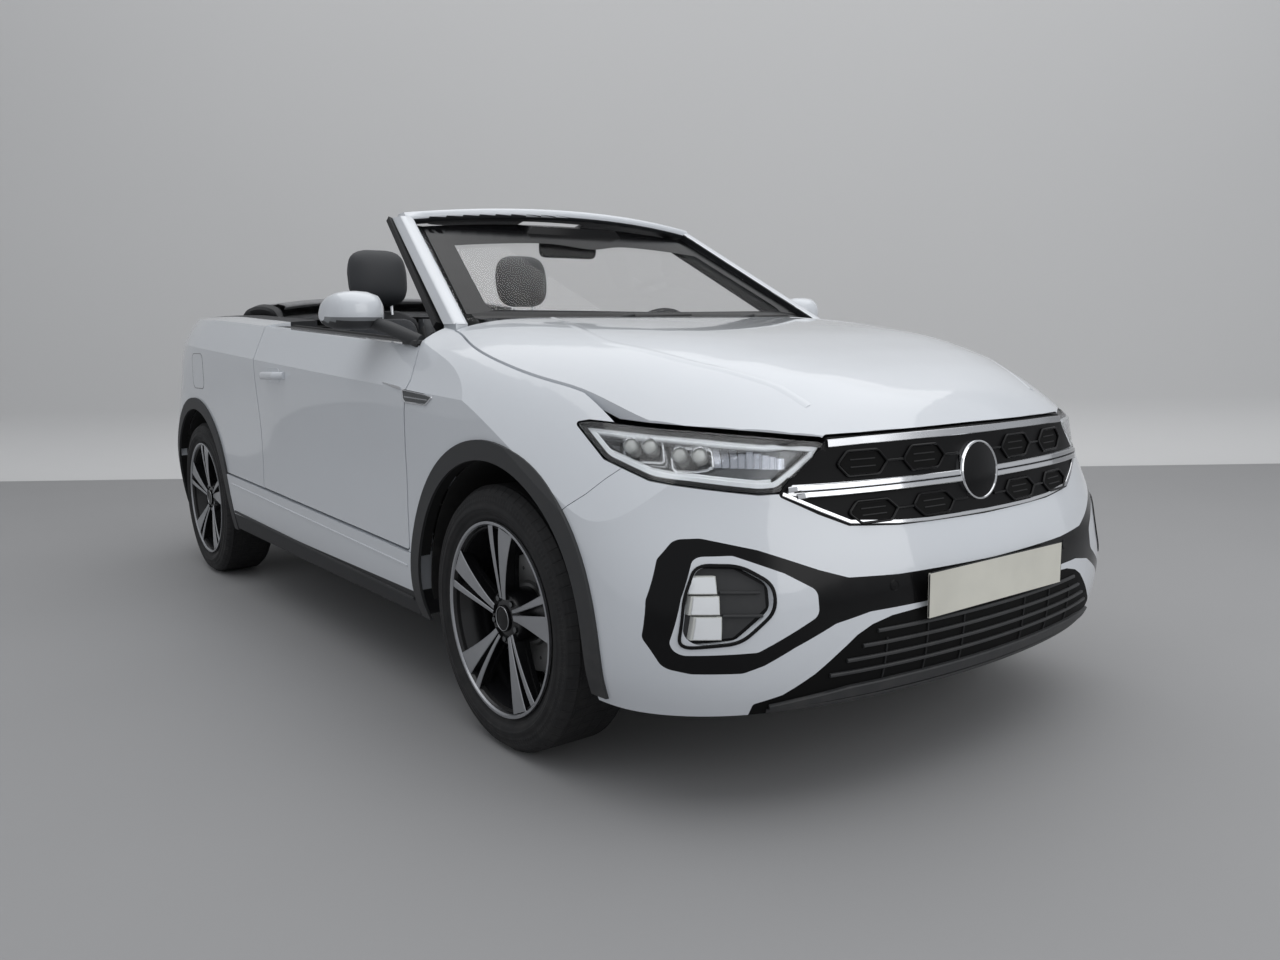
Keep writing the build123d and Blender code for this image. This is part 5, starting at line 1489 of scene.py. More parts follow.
def build_hood_creases():
    """The two raised creases that run forward along the hood."""
    hood_lines = Form()
    top = surface_of("hood")
    for side in (-1, 1):
        crease = [(0.985, 0.480), (1.20, 0.560), (1.413, 0.612), (1.559, 0.585), (1.688, 0.540),
                  (1.773, 0.495), (1.850, 0.455), (1.930, 0.430)]
        path = [tuple(p) for p in smooth_line(crease, 6)]
        line = evened(cast(top, top_view(side), path), 3)
        hood_lines.bar(line, [(-0.030, -0.0030), (-0.014, -0.0004), (-0.003, 0.0016), (0.003, 0.0016),
                              (0.012, -0.0002), (0.028, -0.0030)], "paint")
    hood_lines.make("hood_creases", "hood", sharp=80)


def build_rear_trim():
    """Tail lamp bars, the lid's disc, handle strip and high lamp, and the bumper's reflectors and trims."""
    lid = surface_of("boot_lid", "lid_lamps")
    fixed = surface_of("tail_lamps")
    for label, side in SIDES.items():
        view = rear_view(side)
        form = Form()
        for inset_by, width in ((0.016, 0.008), (0.034, 0.005)):
            path = inset([(0.30, 0.852), (0.30, 0.948), (0.545, 0.948), (0.545, 0.852)], inset_by)
            form.trim(lid, view, rounded(path, 0.012), width, 0.003, "bright_red", closed=True)
        form.make(f"lid_lamp_bars_{label}", "boot_lid")
        form = Form()
        for z in (0.865, 0.900, 0.935):
            form.trim(fixed, rear_view(side), [(0.585, z), (0.700, z), (0.79, z)], 0.008, 0.003, "bright_red")
        form.make(f"tail_lamp_bars_{label}", "body")

    form = Form()
    view = rear_view()
    spot, out = cast(surface_of("boot_lid"), view, [(0.0, 0.905)])[0]
    form.turned(spot, out, [(0.052, -0.004), (0.052, 0.004), (0.049, 0.007), (0.046, 0.006)], "chrome", 56,
                ends=False)
    form.turned(spot, out, [(0.0465, 0.003), (0.045, 0.006), (0.02, 0.009), (0.001, 0.0095)], "gloss_black",
                56)
    form.trim(surface_of("boot_lid"), view, [(-0.16, 0.800), (0.16, 0.800)], 0.022, 0.006, "paint")
    form.trim(surface_of("boot_lid"), view, [(-0.13, 0.782), (0.13, 0.782)], 0.014, 0.002, "deep_black")
    form.trim(surface_of("boot_lid"), top_view(), [(-1.655, -0.14), (-1.655, 0.14)], 0.014, 0.003, "tail_red")
    form.make("lid_trim", "boot_lid")

    form = Form()
    bumper = surface_of("rear_bumper", "rear_diffuser")
    for side in (-1, 1):
        rear = rear_view(side)
        form.trim(bumper, rear, [(0.44, 0.420), (0.64, 0.430)], 0.022, 0.003, "tail_red")
        form.trim(bumper, rear, [(0.32, 0.300), (0.52, 0.304), (0.55, 0.335), (0.34, 0.330)], 0.007, 0.004,
                  "satin_chrome", closed=True)
    form.trim(bumper, view, [(-0.60, 0.384), (0.60, 0.384)], 0.006, 0.003, "satin_chrome")
    for y in (-0.20, -0.10, 0.0, 0.10, 0.20):
        form.trim(bumper, view, [(y, 0.262), (y, 0.345)], 0.008, 0.006, "cladding")
    form.make("rear_bumper_trim", "body")


# ---------------------------------------------------------------- cabin
def seat_pad(form, origin, across, up, width, height, depth, finish, channels=(), waist=0.0, crown=None,
             columns=22, rows=26, corner=7.0):
    """Crowned pad whose sides pull in between its rounded corners, with sewn channels over its face."""
    sizes = bpy.context.scene.suv_seat
    crown = sizes.crown if crown is None else crown
    origin, across, up = Vector(origin), Vector(across).normalized(), Vector(up).normalized()
    out = across.cross(up)

    def edge(t):
        return (1 - waist * math.sin(math.pi * t)) * (1 - abs(2 * t - 1) ** corner) ** (1 / corner)

    front, back = [], []
    for j in range(rows + 1):
        v = 0.5 - 0.5 * math.cos(math.pi * j / rows)
        for i in range(columns + 1):
            u = math.sin(math.pi * (i / columns - 0.5))
            w = 2 * v - 1
            shape = max(0.0, 1 - abs(u) ** 5) ** 0.5 * max(0.0, 1 - abs(w) ** 6) ** 0.5
            height_here = depth * shape + crown * (1 - u * u) * (1 - w * w) * shape
            for place, along_up in channels:
                value = v if along_up else (u + 1) / 2
                height_here -= sizes.channel * math.exp(-(((value - place) / 0.014) ** 2)) * shape
            place = origin + across * (u * width / 2 * edge(v)) + up * height * v
            front.append(place + out * height_here)
            back.append(place - out * 0.004)
    wide = columns + 1
    count = wide * (rows + 1)
    faces = []
    for j in range(rows):
        for i in range(columns):
            a = j * wide + i
            faces.append((a, a + 1, a + wide + 1, a + wide))
            faces.append((count + a, count + a + wide, count + a + wide + 1, count + a + 1))
    rim = [*range(columns), *(j * wide + columns for j in range(rows)),
           *(rows * wide + i for i in range(columns, 0, -1)), *(j * wide for j in range(rows, 0, -1))]
    for a, b in zip(rim, rim[1:] + rim[:1]):
        faces.append((b, a, count + a, count + b))
    form.add(front + back, faces, finish)


FILL_PRESSURE, FILL_STIFFNESS, FILL_FRAMES = 3.0, 40.0, 14


def puff(piece, cap):
    """Fills a pad by a short cloth simulation with pressure; no point moves further than a cap."""
    mesh = piece.data
    rest = [v.co.copy() for v in mesh.vertices]
    modifier = piece.modifiers.new("Fill", "CLOTH")
    modifier.settings.use_pressure = True
    modifier.settings.uniform_pressure_force = FILL_PRESSURE
    modifier.settings.effector_weights.gravity = 0.0
    modifier.settings.quality = 4
    modifier.settings.tension_stiffness = FILL_STIFFNESS
    scene = bpy.context.scene
    for step in range(FILL_FRAMES):
        scene.frame_set(step + 1)
    shaped = piece.evaluated_get(bpy.context.evaluated_depsgraph_get()).data
    moved = [v.co.copy() for v in shaped.vertices]
    piece.modifiers.remove(modifier)
    scene.frame_set(1)
    for vertex, old, new in zip(mesh.vertices, rest, moved):
        shift = new - old
        vertex.co = old + shift * min(1.0, cap / max(shift.length, 1e-6))
    mesh.update()


def make_pad(name, body, replaces, pads, cap=0.010):
    form = Form()
    for pad in pads:
        seat_pad(form, **pad)
    piece = form.make(name, body, sharp=60, replaces=replaces)
    puff(piece, cap)
    return piece


def build_front_seats():
    """Two front seats: cushion, bolsters, backrest, head restraint, shell and runners."""
    for label, side in SIDES.items():
        y = 0.340 * side
        lean = math.radians(14.0)
        up = Vector((-math.sin(lean), 0, math.cos(lean)))
        cushion_up = Vector((math.cos(math.radians(5)), 0, math.sin(math.radians(5))))
        make_pad(f"seat_cushion_{label}", "body", ["front_seats"], [
            {"origin": (-0.400, y, 0.442), "across": Y * -1, "up": cushion_up, "width": 0.330,
             "height": 0.470, "depth": 0.042, "finish": "seat_cloth",
             "channels": ((0.30, True), (0.62, True)), "waist": 0.02},
        ])
        make_pad(f"seat_back_{label}", "body", [], [
            {"origin": (-0.392, y, 0.500), "across": Y, "up": up, "width": 0.330, "height": 0.640,
             "depth": 0.040, "finish": "seat_cloth", "channels": ((0.28, True), (0.55, True), (0.80, True)),
             "waist": 0.03},
        ])
        rest_lean = math.radians(6.0)
        rest_up = Vector((-math.sin(rest_lean), 0, math.cos(rest_lean)))
        make_pad(f"head_restraint_{label}", "body", [], [
            {"origin": (-0.545, y, 1.165), "across": Y, "up": rest_up, "width": 0.240, "height": 0.226,
             "depth": 0.046, "finish": "seat_side", "waist": -0.03, "crown": 0.014, "columns": 18, "rows": 18,
             "corner": 3.6},
            {"origin": (-0.545, y, 1.165), "across": Y * -1, "up": rest_up, "width": 0.236, "height": 0.224,
             "depth": 0.034, "finish": "seat_side", "waist": -0.03, "crown": 0.008, "columns": 18, "rows": 18,
             "corner": 3.6},
        ], cap=0.005)

        bolsters = Form()
        for s in (-1, 1):
            path = []
            for k in range(15):
                t = k / 14
                path.append(Vector((-0.395 + 0.455 * t, y + s * (0.205 - 0.006 * t), 0.470 + 0.036 * t)))
            rings = []
            for k, p in enumerate(path):
                t = k / 14
                round_off = min(1.0, 0.35 + 3.5 * min(t, 1 - t)) ** 0.5
                rings.append([p + Y * s * 0.044 * round_off * math.cos(a)
                              + Z * 0.050 * round_off * math.sin(a) for a in turns(14)])
            bolsters.rings(rings, "seat_side")
            rings = []
            for k in range(17):
                t = k / 16
                p = Vector((-0.380, y + s * (0.200 - 0.018 * t * t), 0.530)) + up * (0.600 * t) + X * 0.012
                round_off = min(1.0, 0.35 + 3.5 * min(t, 1 - t)) ** 0.5
                rings.append([p + Y * s * 0.040 * round_off * math.cos(a)
                              + X * 0.052 * round_off * math.sin(a) for a in turns(14)])
            bolsters.rings(rings, "seat_side")
        piece = bolsters.make(f"seat_bolsters_{label}", "body", sharp=70)

        shell = Form()
        back = [(-0.215, 0.0), (-0.205, 0.52), (-0.17, 0.665), (-0.10, 0.70), (0.10, 0.70), (0.17, 0.665),
                (0.205, 0.52), (0.215, 0.0)]
        shell.pillow(Vector((-0.400, y, 0.470)), Y * -1, up, back, 0.058, "cabin_plastic", 0.03, crown=0.01)
        shell.pillow(Vector((-0.170, y, 0.398)), X, Y, rectangle(0.47, 0.44, 0.05), 0.062, "cabin_plastic",
                     0.02)
        for s in (-0.055, 0.055):
            shell.tube([Vector((-0.548, y + s, 1.130)), Vector((-0.556, y + s, 1.250))], 0.006, "chrome", 10)
        for s in (-0.17, 0.17):
            shell.slab((-0.18, y + s, 0.2455), X, Y, rectangle(0.50, 0.045, 0.006), 0.040, "cast_metal",
                       0.004)
            shell.tube([Vector((-0.34, y + s, 0.29)), Vector((-0.30, y + s, 0.40))], 0.012, "cast_metal", 10)
            shell.tube([Vector((0.00, y + s, 0.29)), Vector((0.03, y + s, 0.40))], 0.012, "cast_metal", 10)
        shell.tube([Vector((-0.30, y + side * 0.232, 0.46)), Vector((-0.16, y + side * 0.232, 0.462))], 0.012,
                   "cabin_plastic", 10)
        shell.make(f"seat_shell_{label}", "body")

        seams = Form()
        for s in (-0.165, 0.165):
            seams.tube([Vector((-0.352, y + s, 0.53)) + up * (0.60 * k / 12) + X * 0.006 for k in range(13)],
                       0.0016, "stitching", 6)
        seams.make(f"seat_seams_{label}", "body")


def build_rear_seat():
    """Bench with two seats, its backrests and low head restraints."""
    up = Vector((-0.17, 0, 0.985))
    ahead = Vector((0.995, 0, 0.085))
    for label, side in SIDES.items():
        y = 0.245 * side
        make_pad(f"rear_cushion_{label}", "body", ["rear_seat"], [
            {"origin": (-1.070, y, 0.478), "across": Y * -1, "up": ahead, "width": 0.440, "height": 0.450,
             "depth": 0.038, "finish": "seat_cloth", "channels": ((0.35, True), (0.66, True)),
             "waist": 0.015},
        ])
        make_pad(f"rear_back_{label}", "body", [], [
            {"origin": (-1.045, y, 0.520), "across": Y, "up": up, "width": 0.440, "height": 0.490,
             "depth": 0.036, "finish": "seat_cloth", "channels": ((0.35, True), (0.66, True)),
             "waist": 0.015},
        ])
    base = Form()
    base.pillow(Vector((-0.860, 0, 0.400)), X, Y, rectangle(0.46, 0.96, 0.05), 0.075, "seat_side", 0.03)
    base.pillow(Vector((-1.040, 0, 0.500)), Y * -1, up, rectangle(0.96, 0.52, 0.05, centre=(0, 0.26)), 0.050,
                "seat_side", 0.02)
    for side in (-1, 1):
        base.pillow(Vector((-1.105, 0.255 * side, 1.040)), Y, Vector((-0.1, 0, 1)),
                    rectangle(0.24, 0.085, 0.035), 0.06, "seat_side", 0.022, crown=0.006)
    base.make("rear_seat_shell", "body")


def build_dashboard():
    """Instrument hood, screens, vents, trim strips, glove box lid, controls and small speakers."""
    form = Form()
    hood = []
    for k in range(13):
        t = -1 + 2 * k / 12
        top = 1.062 - 0.030 * t * t
        y = 0.340 + 0.190 * t
        hood.append([Vector((0.520, y, top - 0.022)), Vector((0.530, y, top - 0.004)),
                     Vector((0.560, y, top)), Vector((0.640, y, top - 0.010)),
                     Vector((0.660, y, top - 0.040)), Vector((0.560, y, top - 0.050))])
    form.rings(hood, "cabin_plastic")
    for place, lean, box, depth, finish, edge in (
            ((0.519, 0.340, 0.985), (0.20, 0, 0.98), (0.300, 0.105, 0.012), 0.004, "cabin_gloss", 0.001),
            ((0.5145, 0.340, 0.986), (0.20, 0, 0.98), (0.262, 0.086, 0.008), 0.0015, "display", 0.0005),
            ((0.500, 0.0, 0.968), (0.15, 0, 0.99), (0.262, 0.165, 0.014), 0.012, "cabin_gloss", 0.003),
            ((0.4875, 0.0, 0.972), (0.15, 0, 0.99), (0.222, 0.128, 0.006), 0.0015, "display", 0.0005)):
        form.slab(place, Y * -1, lean, rectangle(*box), depth, finish, edge)
    for y, wide in ((-0.590, 0.130), (0.600, 0.110), (-0.190, 0.085), (0.195, 0.085)):
        centre = Vector((0.488 if abs(y) > 0.3 else 0.494, y, 0.900))
        lean = (0.25, 0, 0.97)
        form.slab(centre, Y * -1, lean, rectangle(wide, 0.068, 0.010), 0.006, "satin_chrome", 0.002)
        form.slab(centre - X * 0.0065, Y * -1, lean, rectangle(wide - 0.010, 0.058, 0.007), 0.001,
                  "deep_black", 0.0004)
        for k in range(4):
            form.slab(centre + Vector((-0.0075, 0, -0.021 + 0.014 * k)), Y * -1, (0.6, 0, 0.8),
                      rectangle(wide - 0.012, 0.008, 0.002), 0.0015, "cabin_plastic", 0.0004)
    strip = [Vector((0.4835, -0.655 + 1.31 * k / 20, 0.846)) for k in range(21)]
    form.bar([(p, -X) for p in strip], mirrored([(0.020, -0.004), (0.020, 0.004), (0.014, 0.008)]),
             "cabin_gloss")
    form.bar([(p - Z * 0.024, -X) for p in strip], mirrored([(0.0025, 0), (0.0025, 0.007)]), "satin_chrome")
    box = rectangle(0.40, 0.120, 0.015)
    form.slab((0.512, -0.390, 0.748), Y * -1, Vector((0.3, 0, -0.95)) * -1, box, 0.006, "cabin_plastic",
              0.002)
    form.slab((0.512, 0.0, 0.775), Y * -1, Vector((0.3, 0, -0.95)) * -1, rectangle(0.20, 0.085, 0.010), 0.006,
              "cabin_gloss", 0.002)
    for y in (-0.065, 0.065):
        form.turned((0.500, y, 0.778), (-1, 0, 0.1),
                    [(0.019, 0), (0.018, 0.016), (0.015, 0.018), (0.001, 0.018)], "satin_chrome", 28)
    for side in (-1, 1):
        tweeter = rectangle(0.10, 0.05, 0.012, centre=(0.80, 0.52 * side))
        form.slab((0, 0, 1.0225), X, Y, tweeter, 0.003, "deep_black", 0.001)
    form.make("dashboard_details", "body")


def build_steering_wheel():
    """Leather rim with a flat lower edge, three spokes and a plain middle pad."""
    centre = Vector((0.400, 0.340, 0.955))
    axis = Vector((-0.9063, 0, 0.4226))
    up = Vector((0.4226, 0, 0.9063))
    form = Form()
    ring = []
    for a in turns(64):
        low = max(0.0, -math.sin(a) - 0.86) / 0.14
        r = 0.178 - 0.013 * low
        ring.append(centre + Y * r * math.cos(a) + up * r * math.sin(a))
    form.tube(ring, 0.0155, "cabin_leather", 14, closed=True)
    pad = [(0.062 * math.cos(a) * (1.15 if math.sin(a) > 0 else 1.0), 0.052 * math.sin(a)) for a in turns(28)]
    form.pillow(centre - axis * 0.012, Y * -1, up, pad, 0.040, "cabin_leather", 0.012, crown=0.006)
    wide = 0.030
    for inner, outer in ((0.050, 0.165), (-0.050, -0.165)):
        line = [(centre + Y * (inner + (outer - inner) * k / 8) + axis * (0.010 - 0.014 * (k / 8)), axis)
                for k in range(9)]
        form.bar(line, mirrored([(wide / 2, -0.012), (wide / 2, 0.004), (wide / 3, 0.008)]), "cabin_gloss")
        spot = centre + Y * (inner * 1.75) + axis * 0.014
        for n in (-0.012, 0.0, 0.012):
            form.slab(spot + Y * n * 1.3, Y * -1, up, rectangle(0.011, 0.014, 0.003), 0.002, "satin_chrome",
                      0.0008)
    line = [(centre - up * (0.045 + 0.112 * k / 8) + axis * (0.008 - 0.010 * (k / 8)), axis)
            for k in range(9)]
    form.bar(line, mirrored([(0.022, -0.010), (0.022, 0.004), (0.016, 0.007)]), "satin_chrome")
    form.turned(centre - axis * 0.086, axis, [(0.026, 0), (0.026, 0.05), (0.040, 0.070), (0.040, 0.078)],
                "cabin_plastic", 32)
    form.make("steering_wheel_dressed", "steering_wheel", sharp=50, replaces=["steering_wheel"])

    stalks = Form()
    for side in (-1, 1):
        start = centre - axis * 0.110 + Y * 0.036 * side
        stalks.tube([start, start + Y * 0.075 * side + axis * 0.012, start + Y * 0.130 * side + axis * 0.022],
                    0.007, "cabin_plastic", 10)
    stalks.make("column_stalks", "body")


def build_console():
    """Armrest, cup holders and lever of the centre console."""
    form = Form()
    form.pillow(Vector((-0.150, 0, 0.530)), X, Y, rectangle(0.30, 0.165, 0.03), 0.050, "cabin_leather", 0.018,
                crown=0.006)
    holder = [(0.041, -0.02), (0.041, 0.010), (0.037, 0.012), (0.035, 0.009), (0.034, -0.018)]
    for x in (0.085, 0.175):
        form.turned((x, 0.030, 0.538 + (x - 0.085) * 0.2), Z, holder, "satin_chrome", 36, ends=False)
        form.turned((x, 0.030, 0.5385 + (x - 0.085) * 0.2), Z, [(0.035, 0.003), (0.001, 0.0035)],
                    "deep_black", 36)
    form.slab((0.310, 0, 0.602), Vector((0.94, 0, 0.33)), Y, rectangle(0.150, 0.120, 0.02), 0.006,
              "cabin_gloss", 0.002)
    form.pillow(Vector((0.310, 0, 0.608)), Vector((0.94, 0, 0.33)), Y, rectangle(0.070, 0.062, 0.02), 0.020,
                "cabin_leather", 0.008, crown=0.003)
    form.tube([Vector((0.310, 0, 0.61)), Vector((0.292, 0, 0.675))], 0.009, "satin_chrome", 12)
    knob = [(0.012, 0), (0.021, 0.010), (0.024, 0.026), (0.022, 0.042), (0.014, 0.050), (0.001, 0.052)]
    form.turned((0.294, 0, 0.668), (-0.25, 0, 0.97), knob, "cabin_leather", 24)
    form.make("console_details", "body")


def build_door_linings():
    """Armrest, pull, inner handle, speaker and pocket of each door."""
    for label, side in SIDES.items():
        tree = surface_of(f"door_{label}")
        view = View(X, Z, (0, side, 0), (0, CAST_FROM * side, 0))  # cast outwards from the car's middle
        form = Form()
        rest = [(-0.36, 0.745), (-0.10, 0.750), (0.20, 0.765), (0.42, 0.800)]
        path = [tuple(p) for p in smooth_line(rest, 6)]
        form.trim(tree, view, path, 0.050, 0.046, "cabin_leather", step=0.02)
        form.trim(tree, view, [(0.02, 0.800), (0.22, 0.812)], 0.018, 0.038, "satin_chrome")
        form.trim(tree, view, [(0.30, 0.900), (0.42, 0.905)], 0.022, 0.016, "satin_chrome")
        upper = [(-0.38, 0.965), (0.0, 0.955), (0.50, 0.935)]
        form.trim(tree, view, upper, 0.012, 0.006, "cabin_gloss")
        field = [(-0.34, 0.820), (-0.34, 0.905), (0.22, 0.900), (0.22, 0.840), (0.0, 0.825)]
        form.patch(tree, view, rounded(field, 0.03), "seat_cloth", lift=0.005, depth=0.006, step=0.04)
        ring = [(0.50 + 0.082 * math.cos(a), 0.600 + 0.082 * math.sin(a)) for a in turns(40)]
        form.trim(tree, view, ring, 0.008, 0.006, "cabin_gloss", closed=True, step=0.01)
        form.patch(tree, view, inset(ring, 0.004), "deep_black", lift=0.003, depth=0.003, step=0.03)
        pocket = [(-0.30, 0.560), (0.34, 0.580), (0.34, 0.650), (-0.30, 0.640)]
        form.patch(tree, view, rounded(pocket, 0.02), "cabin_plastic", lift=0.028, depth=0.030, step=0.05)
        form.make(f"door_lining_{label}", f"door_{label}")


def build_folded_roof():
    """Folded fabric roof: one canvas folded back under itself over its bows, with side covers."""
    columns = 36
    half = 0.565
    profile = smooth_line([(-1.040, 1.193), (-1.030, 1.204), (-1.060, 1.213), (-1.20, 1.219), (-1.35, 1.217),
                           (-1.48, 1.203), (-1.530, 1.180), (-1.535, 1.160), (-1.500, 1.152), (-1.30, 1.160),
                           (-1.12, 1.158), (-1.070, 1.150), (-1.062, 1.138), (-1.080, 1.130), (-1.30, 1.126),
                           (-1.50, 1.110)], 6)
    points, faces = [], []
    for i, p in enumerate(profile):
        t = i / (len(profile) - 1)
        for j in range(columns + 1):
            u = 2 * j / columns - 1
            bow = -0.020 * u**4 - 0.010 * u * u
            for where in (-1.12, -1.26, -1.40):
                bow += 0.0035 * math.exp(-(((p.x - where) / 0.018) ** 2)) * (1 if t < 0.35 else 0.4)
            ripple = math.sin(7 * u + 2.0 * math.sin(14 * p.x))
            bow -= 0.004 * ripple * math.sin(math.pi * min(1, t * 1.2)) ** 2
            points.append(Vector((p.x + 0.006 * math.sin(5 * u + 9 * t), half * u * (1 - 0.012 * t),
                                  p.y + bow)))
    for i in range(len(profile) - 1):
        for j in range(columns):
            a = i * (columns + 1) + j
            faces.append((a, a + 1, a + columns + 2, a + columns + 1))
    form = Form()
    form.add(points, faces, "canvas")
    canvas = form.make("folded_roof_canvas", "body", sharp=80, replaces=["soft_top"])
    thick = canvas.modifiers.new("Cloth thickness", "SOLIDIFY")
    thick.thickness = 0.0022
    thick.offset = 0.0

    bows = Form()
    for side in (-1, 1):
        rail = smooth_line([(-1.530, 0.590 * side, 1.130), (-1.40, 0.598 * side, 1.165),
                            (-1.22, 0.600 * side, 1.176), (-1.06, 0.596 * side, 1.158),
                            (-1.010, 0.588 * side, 1.120)], 6)
        line = [(p, Vector((0, 0.4 * side, 0.9)).normalized()) for p in rail]
        bows.bar(line, [(-0.020, -0.022), (-0.022, 0.004), (-0.012, 0.013), (0.012, 0.013), (0.020, 0.002),
                        (0.018, -0.022)], "cladding", scale=lambda t: 0.55 + 0.45 * math.sin(math.pi * t))
        bows.slab((0, 0.585 * side, 0), X, Z, [(-1.52, 1.075), (-1.50, 1.145), (-1.05, 1.150), (-1.05, 1.080),
                                                 (-1.16, 1.070)], 0.010, "cladding", 0.003)
        arm = [Vector((-1.45, 0.560 * side, 1.09)), Vector((-1.25, 0.566 * side, 1.135)),
               Vector((-1.06, 0.560 * side, 1.10))]
        bows.tube(smooth_line(arm, 6), 0.012, "cast_metal", 10)
    for x, z in ((-1.10, 1.100), (-1.27, 1.104), (-1.44, 1.094)):
        bows.tube([Vector((x, y / 20, z - 0.02 * (y / 11) ** 2)) for y in range(-11, 12)], 0.010,
                  "cast_metal", 10)
    bows.slab((-1.29, 0, 1.0605), X, Y, rectangle(0.48, 1.16, 0.05), 0.014, "canvas_lining", 0.004)
    bows.make("folded_roof_bows", "body")
    cover = Form()
    for side in (-1, 1):
        quarter = [Vector((x, side * w, z)) for x, w, z in ((-0.47, 0.700, 1.060), (-0.75, 0.696, 1.075),
                                                             (-1.00, 0.660, 1.090), (-1.20, 0.652, 1.100))]
        line = [(p, Vector((0, 0.15 * -side, 1)).normalized()) for p in smooth_line(quarter, 6)]
        cover.bar(line, mirrored([(0.030, -0.030), (0.032, 0.004), (0.020, 0.012)]), "cabin_plastic")
    cover.make("quarter_caps", "body")


# ---------------------------------------------------------------- stage, light and camera
EYE = (3.4994, -2.0889, 1.0304)
YAW, PITCH, ROLL = 142.746, -7.974, -0.014  # degrees, degrees, radians
FOCAL_LENGTH, FILM_WIDTH = 28.96453125, 36.0  # millimetres
BEND_AT, BEND_RADIUS, WALL_TOP = 7.6, 0.5, 7.0  # distances from the camera along the floor, and a height


def build_stage():
    """Plain pale floor running up into a backdrop, soft light and the camera."""
    settings = bpy.context.scene.suv_stage
    eye = Vector(EYE)
    yaw, pitch, roll = math.radians(YAW), math.radians(PITCH), ROLL
    ahead = Vector((math.cos(yaw) * math.cos(pitch), math.sin(yaw) * math.cos(pitch), math.sin(pitch)))
    level = Vector((math.cos(yaw), math.sin(yaw), 0))
    right = ahead.cross(Z).normalized()
    up = right.cross(ahead)
    tilted_right = right * math.cos(roll) + up * math.sin(roll)
    tilted_up = up * math.cos(roll) - right * math.sin(roll)

    profile = [(-9.0, 0.0), (0.0, 0.0), (BEND_AT, 0.0)]
    profile += [(BEND_AT + BEND_RADIUS * math.sin(a), BEND_RADIUS - BEND_RADIUS * math.cos(a))
                for a in (k * math.pi / 16 for k in range(1, 9))]
    profile += [(BEND_AT + BEND_RADIUS, WALL_TOP)]
    origin = Vector((eye.x, eye.y, 0))
    points, faces = [], []
    for d, z in profile:
        for w in (-14.0, -5.0, 5.0, 14.0):
            points.append(origin + level * d + right * w + Z * z)
    for i in range(len(profile) - 1):
        for j in range(3):
            faces.append((i * 4 + j, i * 4 + j + 1, (i + 1) * 4 + j + 1, (i + 1) * 4 + j))
    mesh = bpy.data.meshes.new("floor_and_backdrop")
    mesh.from_pydata(points, [], faces)
    mesh.materials.append(material("floor"))
    mesh.materials.append(material("wall"))
    for face in mesh.polygons:
        face.material_index = 1 if face.center.z > 0.02 else 0
    mesh.shade_smooth()
    floor = bpy.data.objects.new("floor_and_backdrop", mesh)
    bpy.context.collection.objects.link(floor)

    def area(name, place, target, wide, tall, power):
        """One soft light aimed at a point."""
        lamp = bpy.data.lights.new(name, "AREA")
        lamp.shape = "RECTANGLE"
        lamp.size, lamp.size_y, lamp.energy = wide, tall, power
        holder = bpy.data.objects.new(name, lamp)
        place, target = Vector(place), Vector(target)
        aim = (target - place).to_track_quat("-Z", "Y")
        holder.matrix_world = Matrix.Translation(place) @ aim.to_matrix().to_4x4()
        bpy.context.collection.objects.link(holder)

    area("overhead_light", (-0.5, 1.5, 6.4), (-0.8, 1.0, 0.0), 13.0, 11.0, settings.key)
    area("front_light", (7.5, 1.5, 3.0), (0.8, 0.0, 0.7), 5.0, 4.0, settings.fill)

    world = bpy.data.worlds.new("soft_surround")
    bpy.context.scene.world = world
    world.use_nodes = True
    world.node_tree.nodes["Background"].inputs["Color"].default_value = (0.80, 0.82, 0.85, 1.0)
    world.node_tree.nodes["Background"].inputs["Strength"].default_value = 0.62

    lens = bpy.data.cameras.new("view")
    lens.sensor_width = FILM_WIDTH
    lens.lens = FOCAL_LENGTH
    camera = bpy.data.objects.new("view", lens)
    turn = Matrix((tilted_right, tilted_up, -ahead)).transposed().to_4x4()
    camera.matrix_world = Matrix.Translation(eye) @ turn
    bpy.context.collection.objects.link(camera)
    bpy.context.scene.camera = camera
    bpy.context.scene.view_settings.view_transform = "Standard"


# ---------------------------------------------------------------- operators and panel
def build_wheels():
    """Four wheels with their discs and calipers."""
    for end in AXLES:
        for label in SIDES:
            build_wheel(end, label)


class SUV_OT_finishes(bpy.types.Operator):
    """Gives every CAD node its finish"""

    bl_idname = "suv.finishes"
    bl_label = "Finishes"

    def execute(self, context):
        finish_nodes()
        return {"FINISHED"}


class SUV_OT_headlamps(bpy.types.Operator):
    """Builds both headlamps"""

    bl_idname = "suv.headlamps"
    bl_label = "Headlamps"

    def execute(self, context):
        build_headlamps()
        return {"FINISHED"}


class SUV_OT_grille(bpy.types.Operator):
    """Builds the grille's cells, bright strips and middle disc"""

    bl_idname = "suv.grille"
    bl_label = "Grille"

    def execute(self, context):
        build_grille()
        return {"FINISHED"}


class SUV_OT_lower_front(bpy.types.Operator):
    """Builds the details of the lower front bumper"""

    bl_idname = "suv.lower_front"
    bl_label = "Lower Front"

    def execute(self, context):
        build_lower_front()
        return {"FINISHED"}


class SUV_OT_wheels(bpy.types.Operator):
    """Builds four wheels with their discs and calipers"""

    bl_idname = "suv.wheels"
    bl_label = "Wheels"

    def execute(self, context):
        build_wheels()
        return {"FINISHED"}


class SUV_OT_door_handles(bpy.types.Operator):
    """Builds the outer door handles"""

    bl_idname = "suv.door_handles"
    bl_label = "Door Handles"

    def execute(self, context):
        build_door_handles()
        return {"FINISHED"}


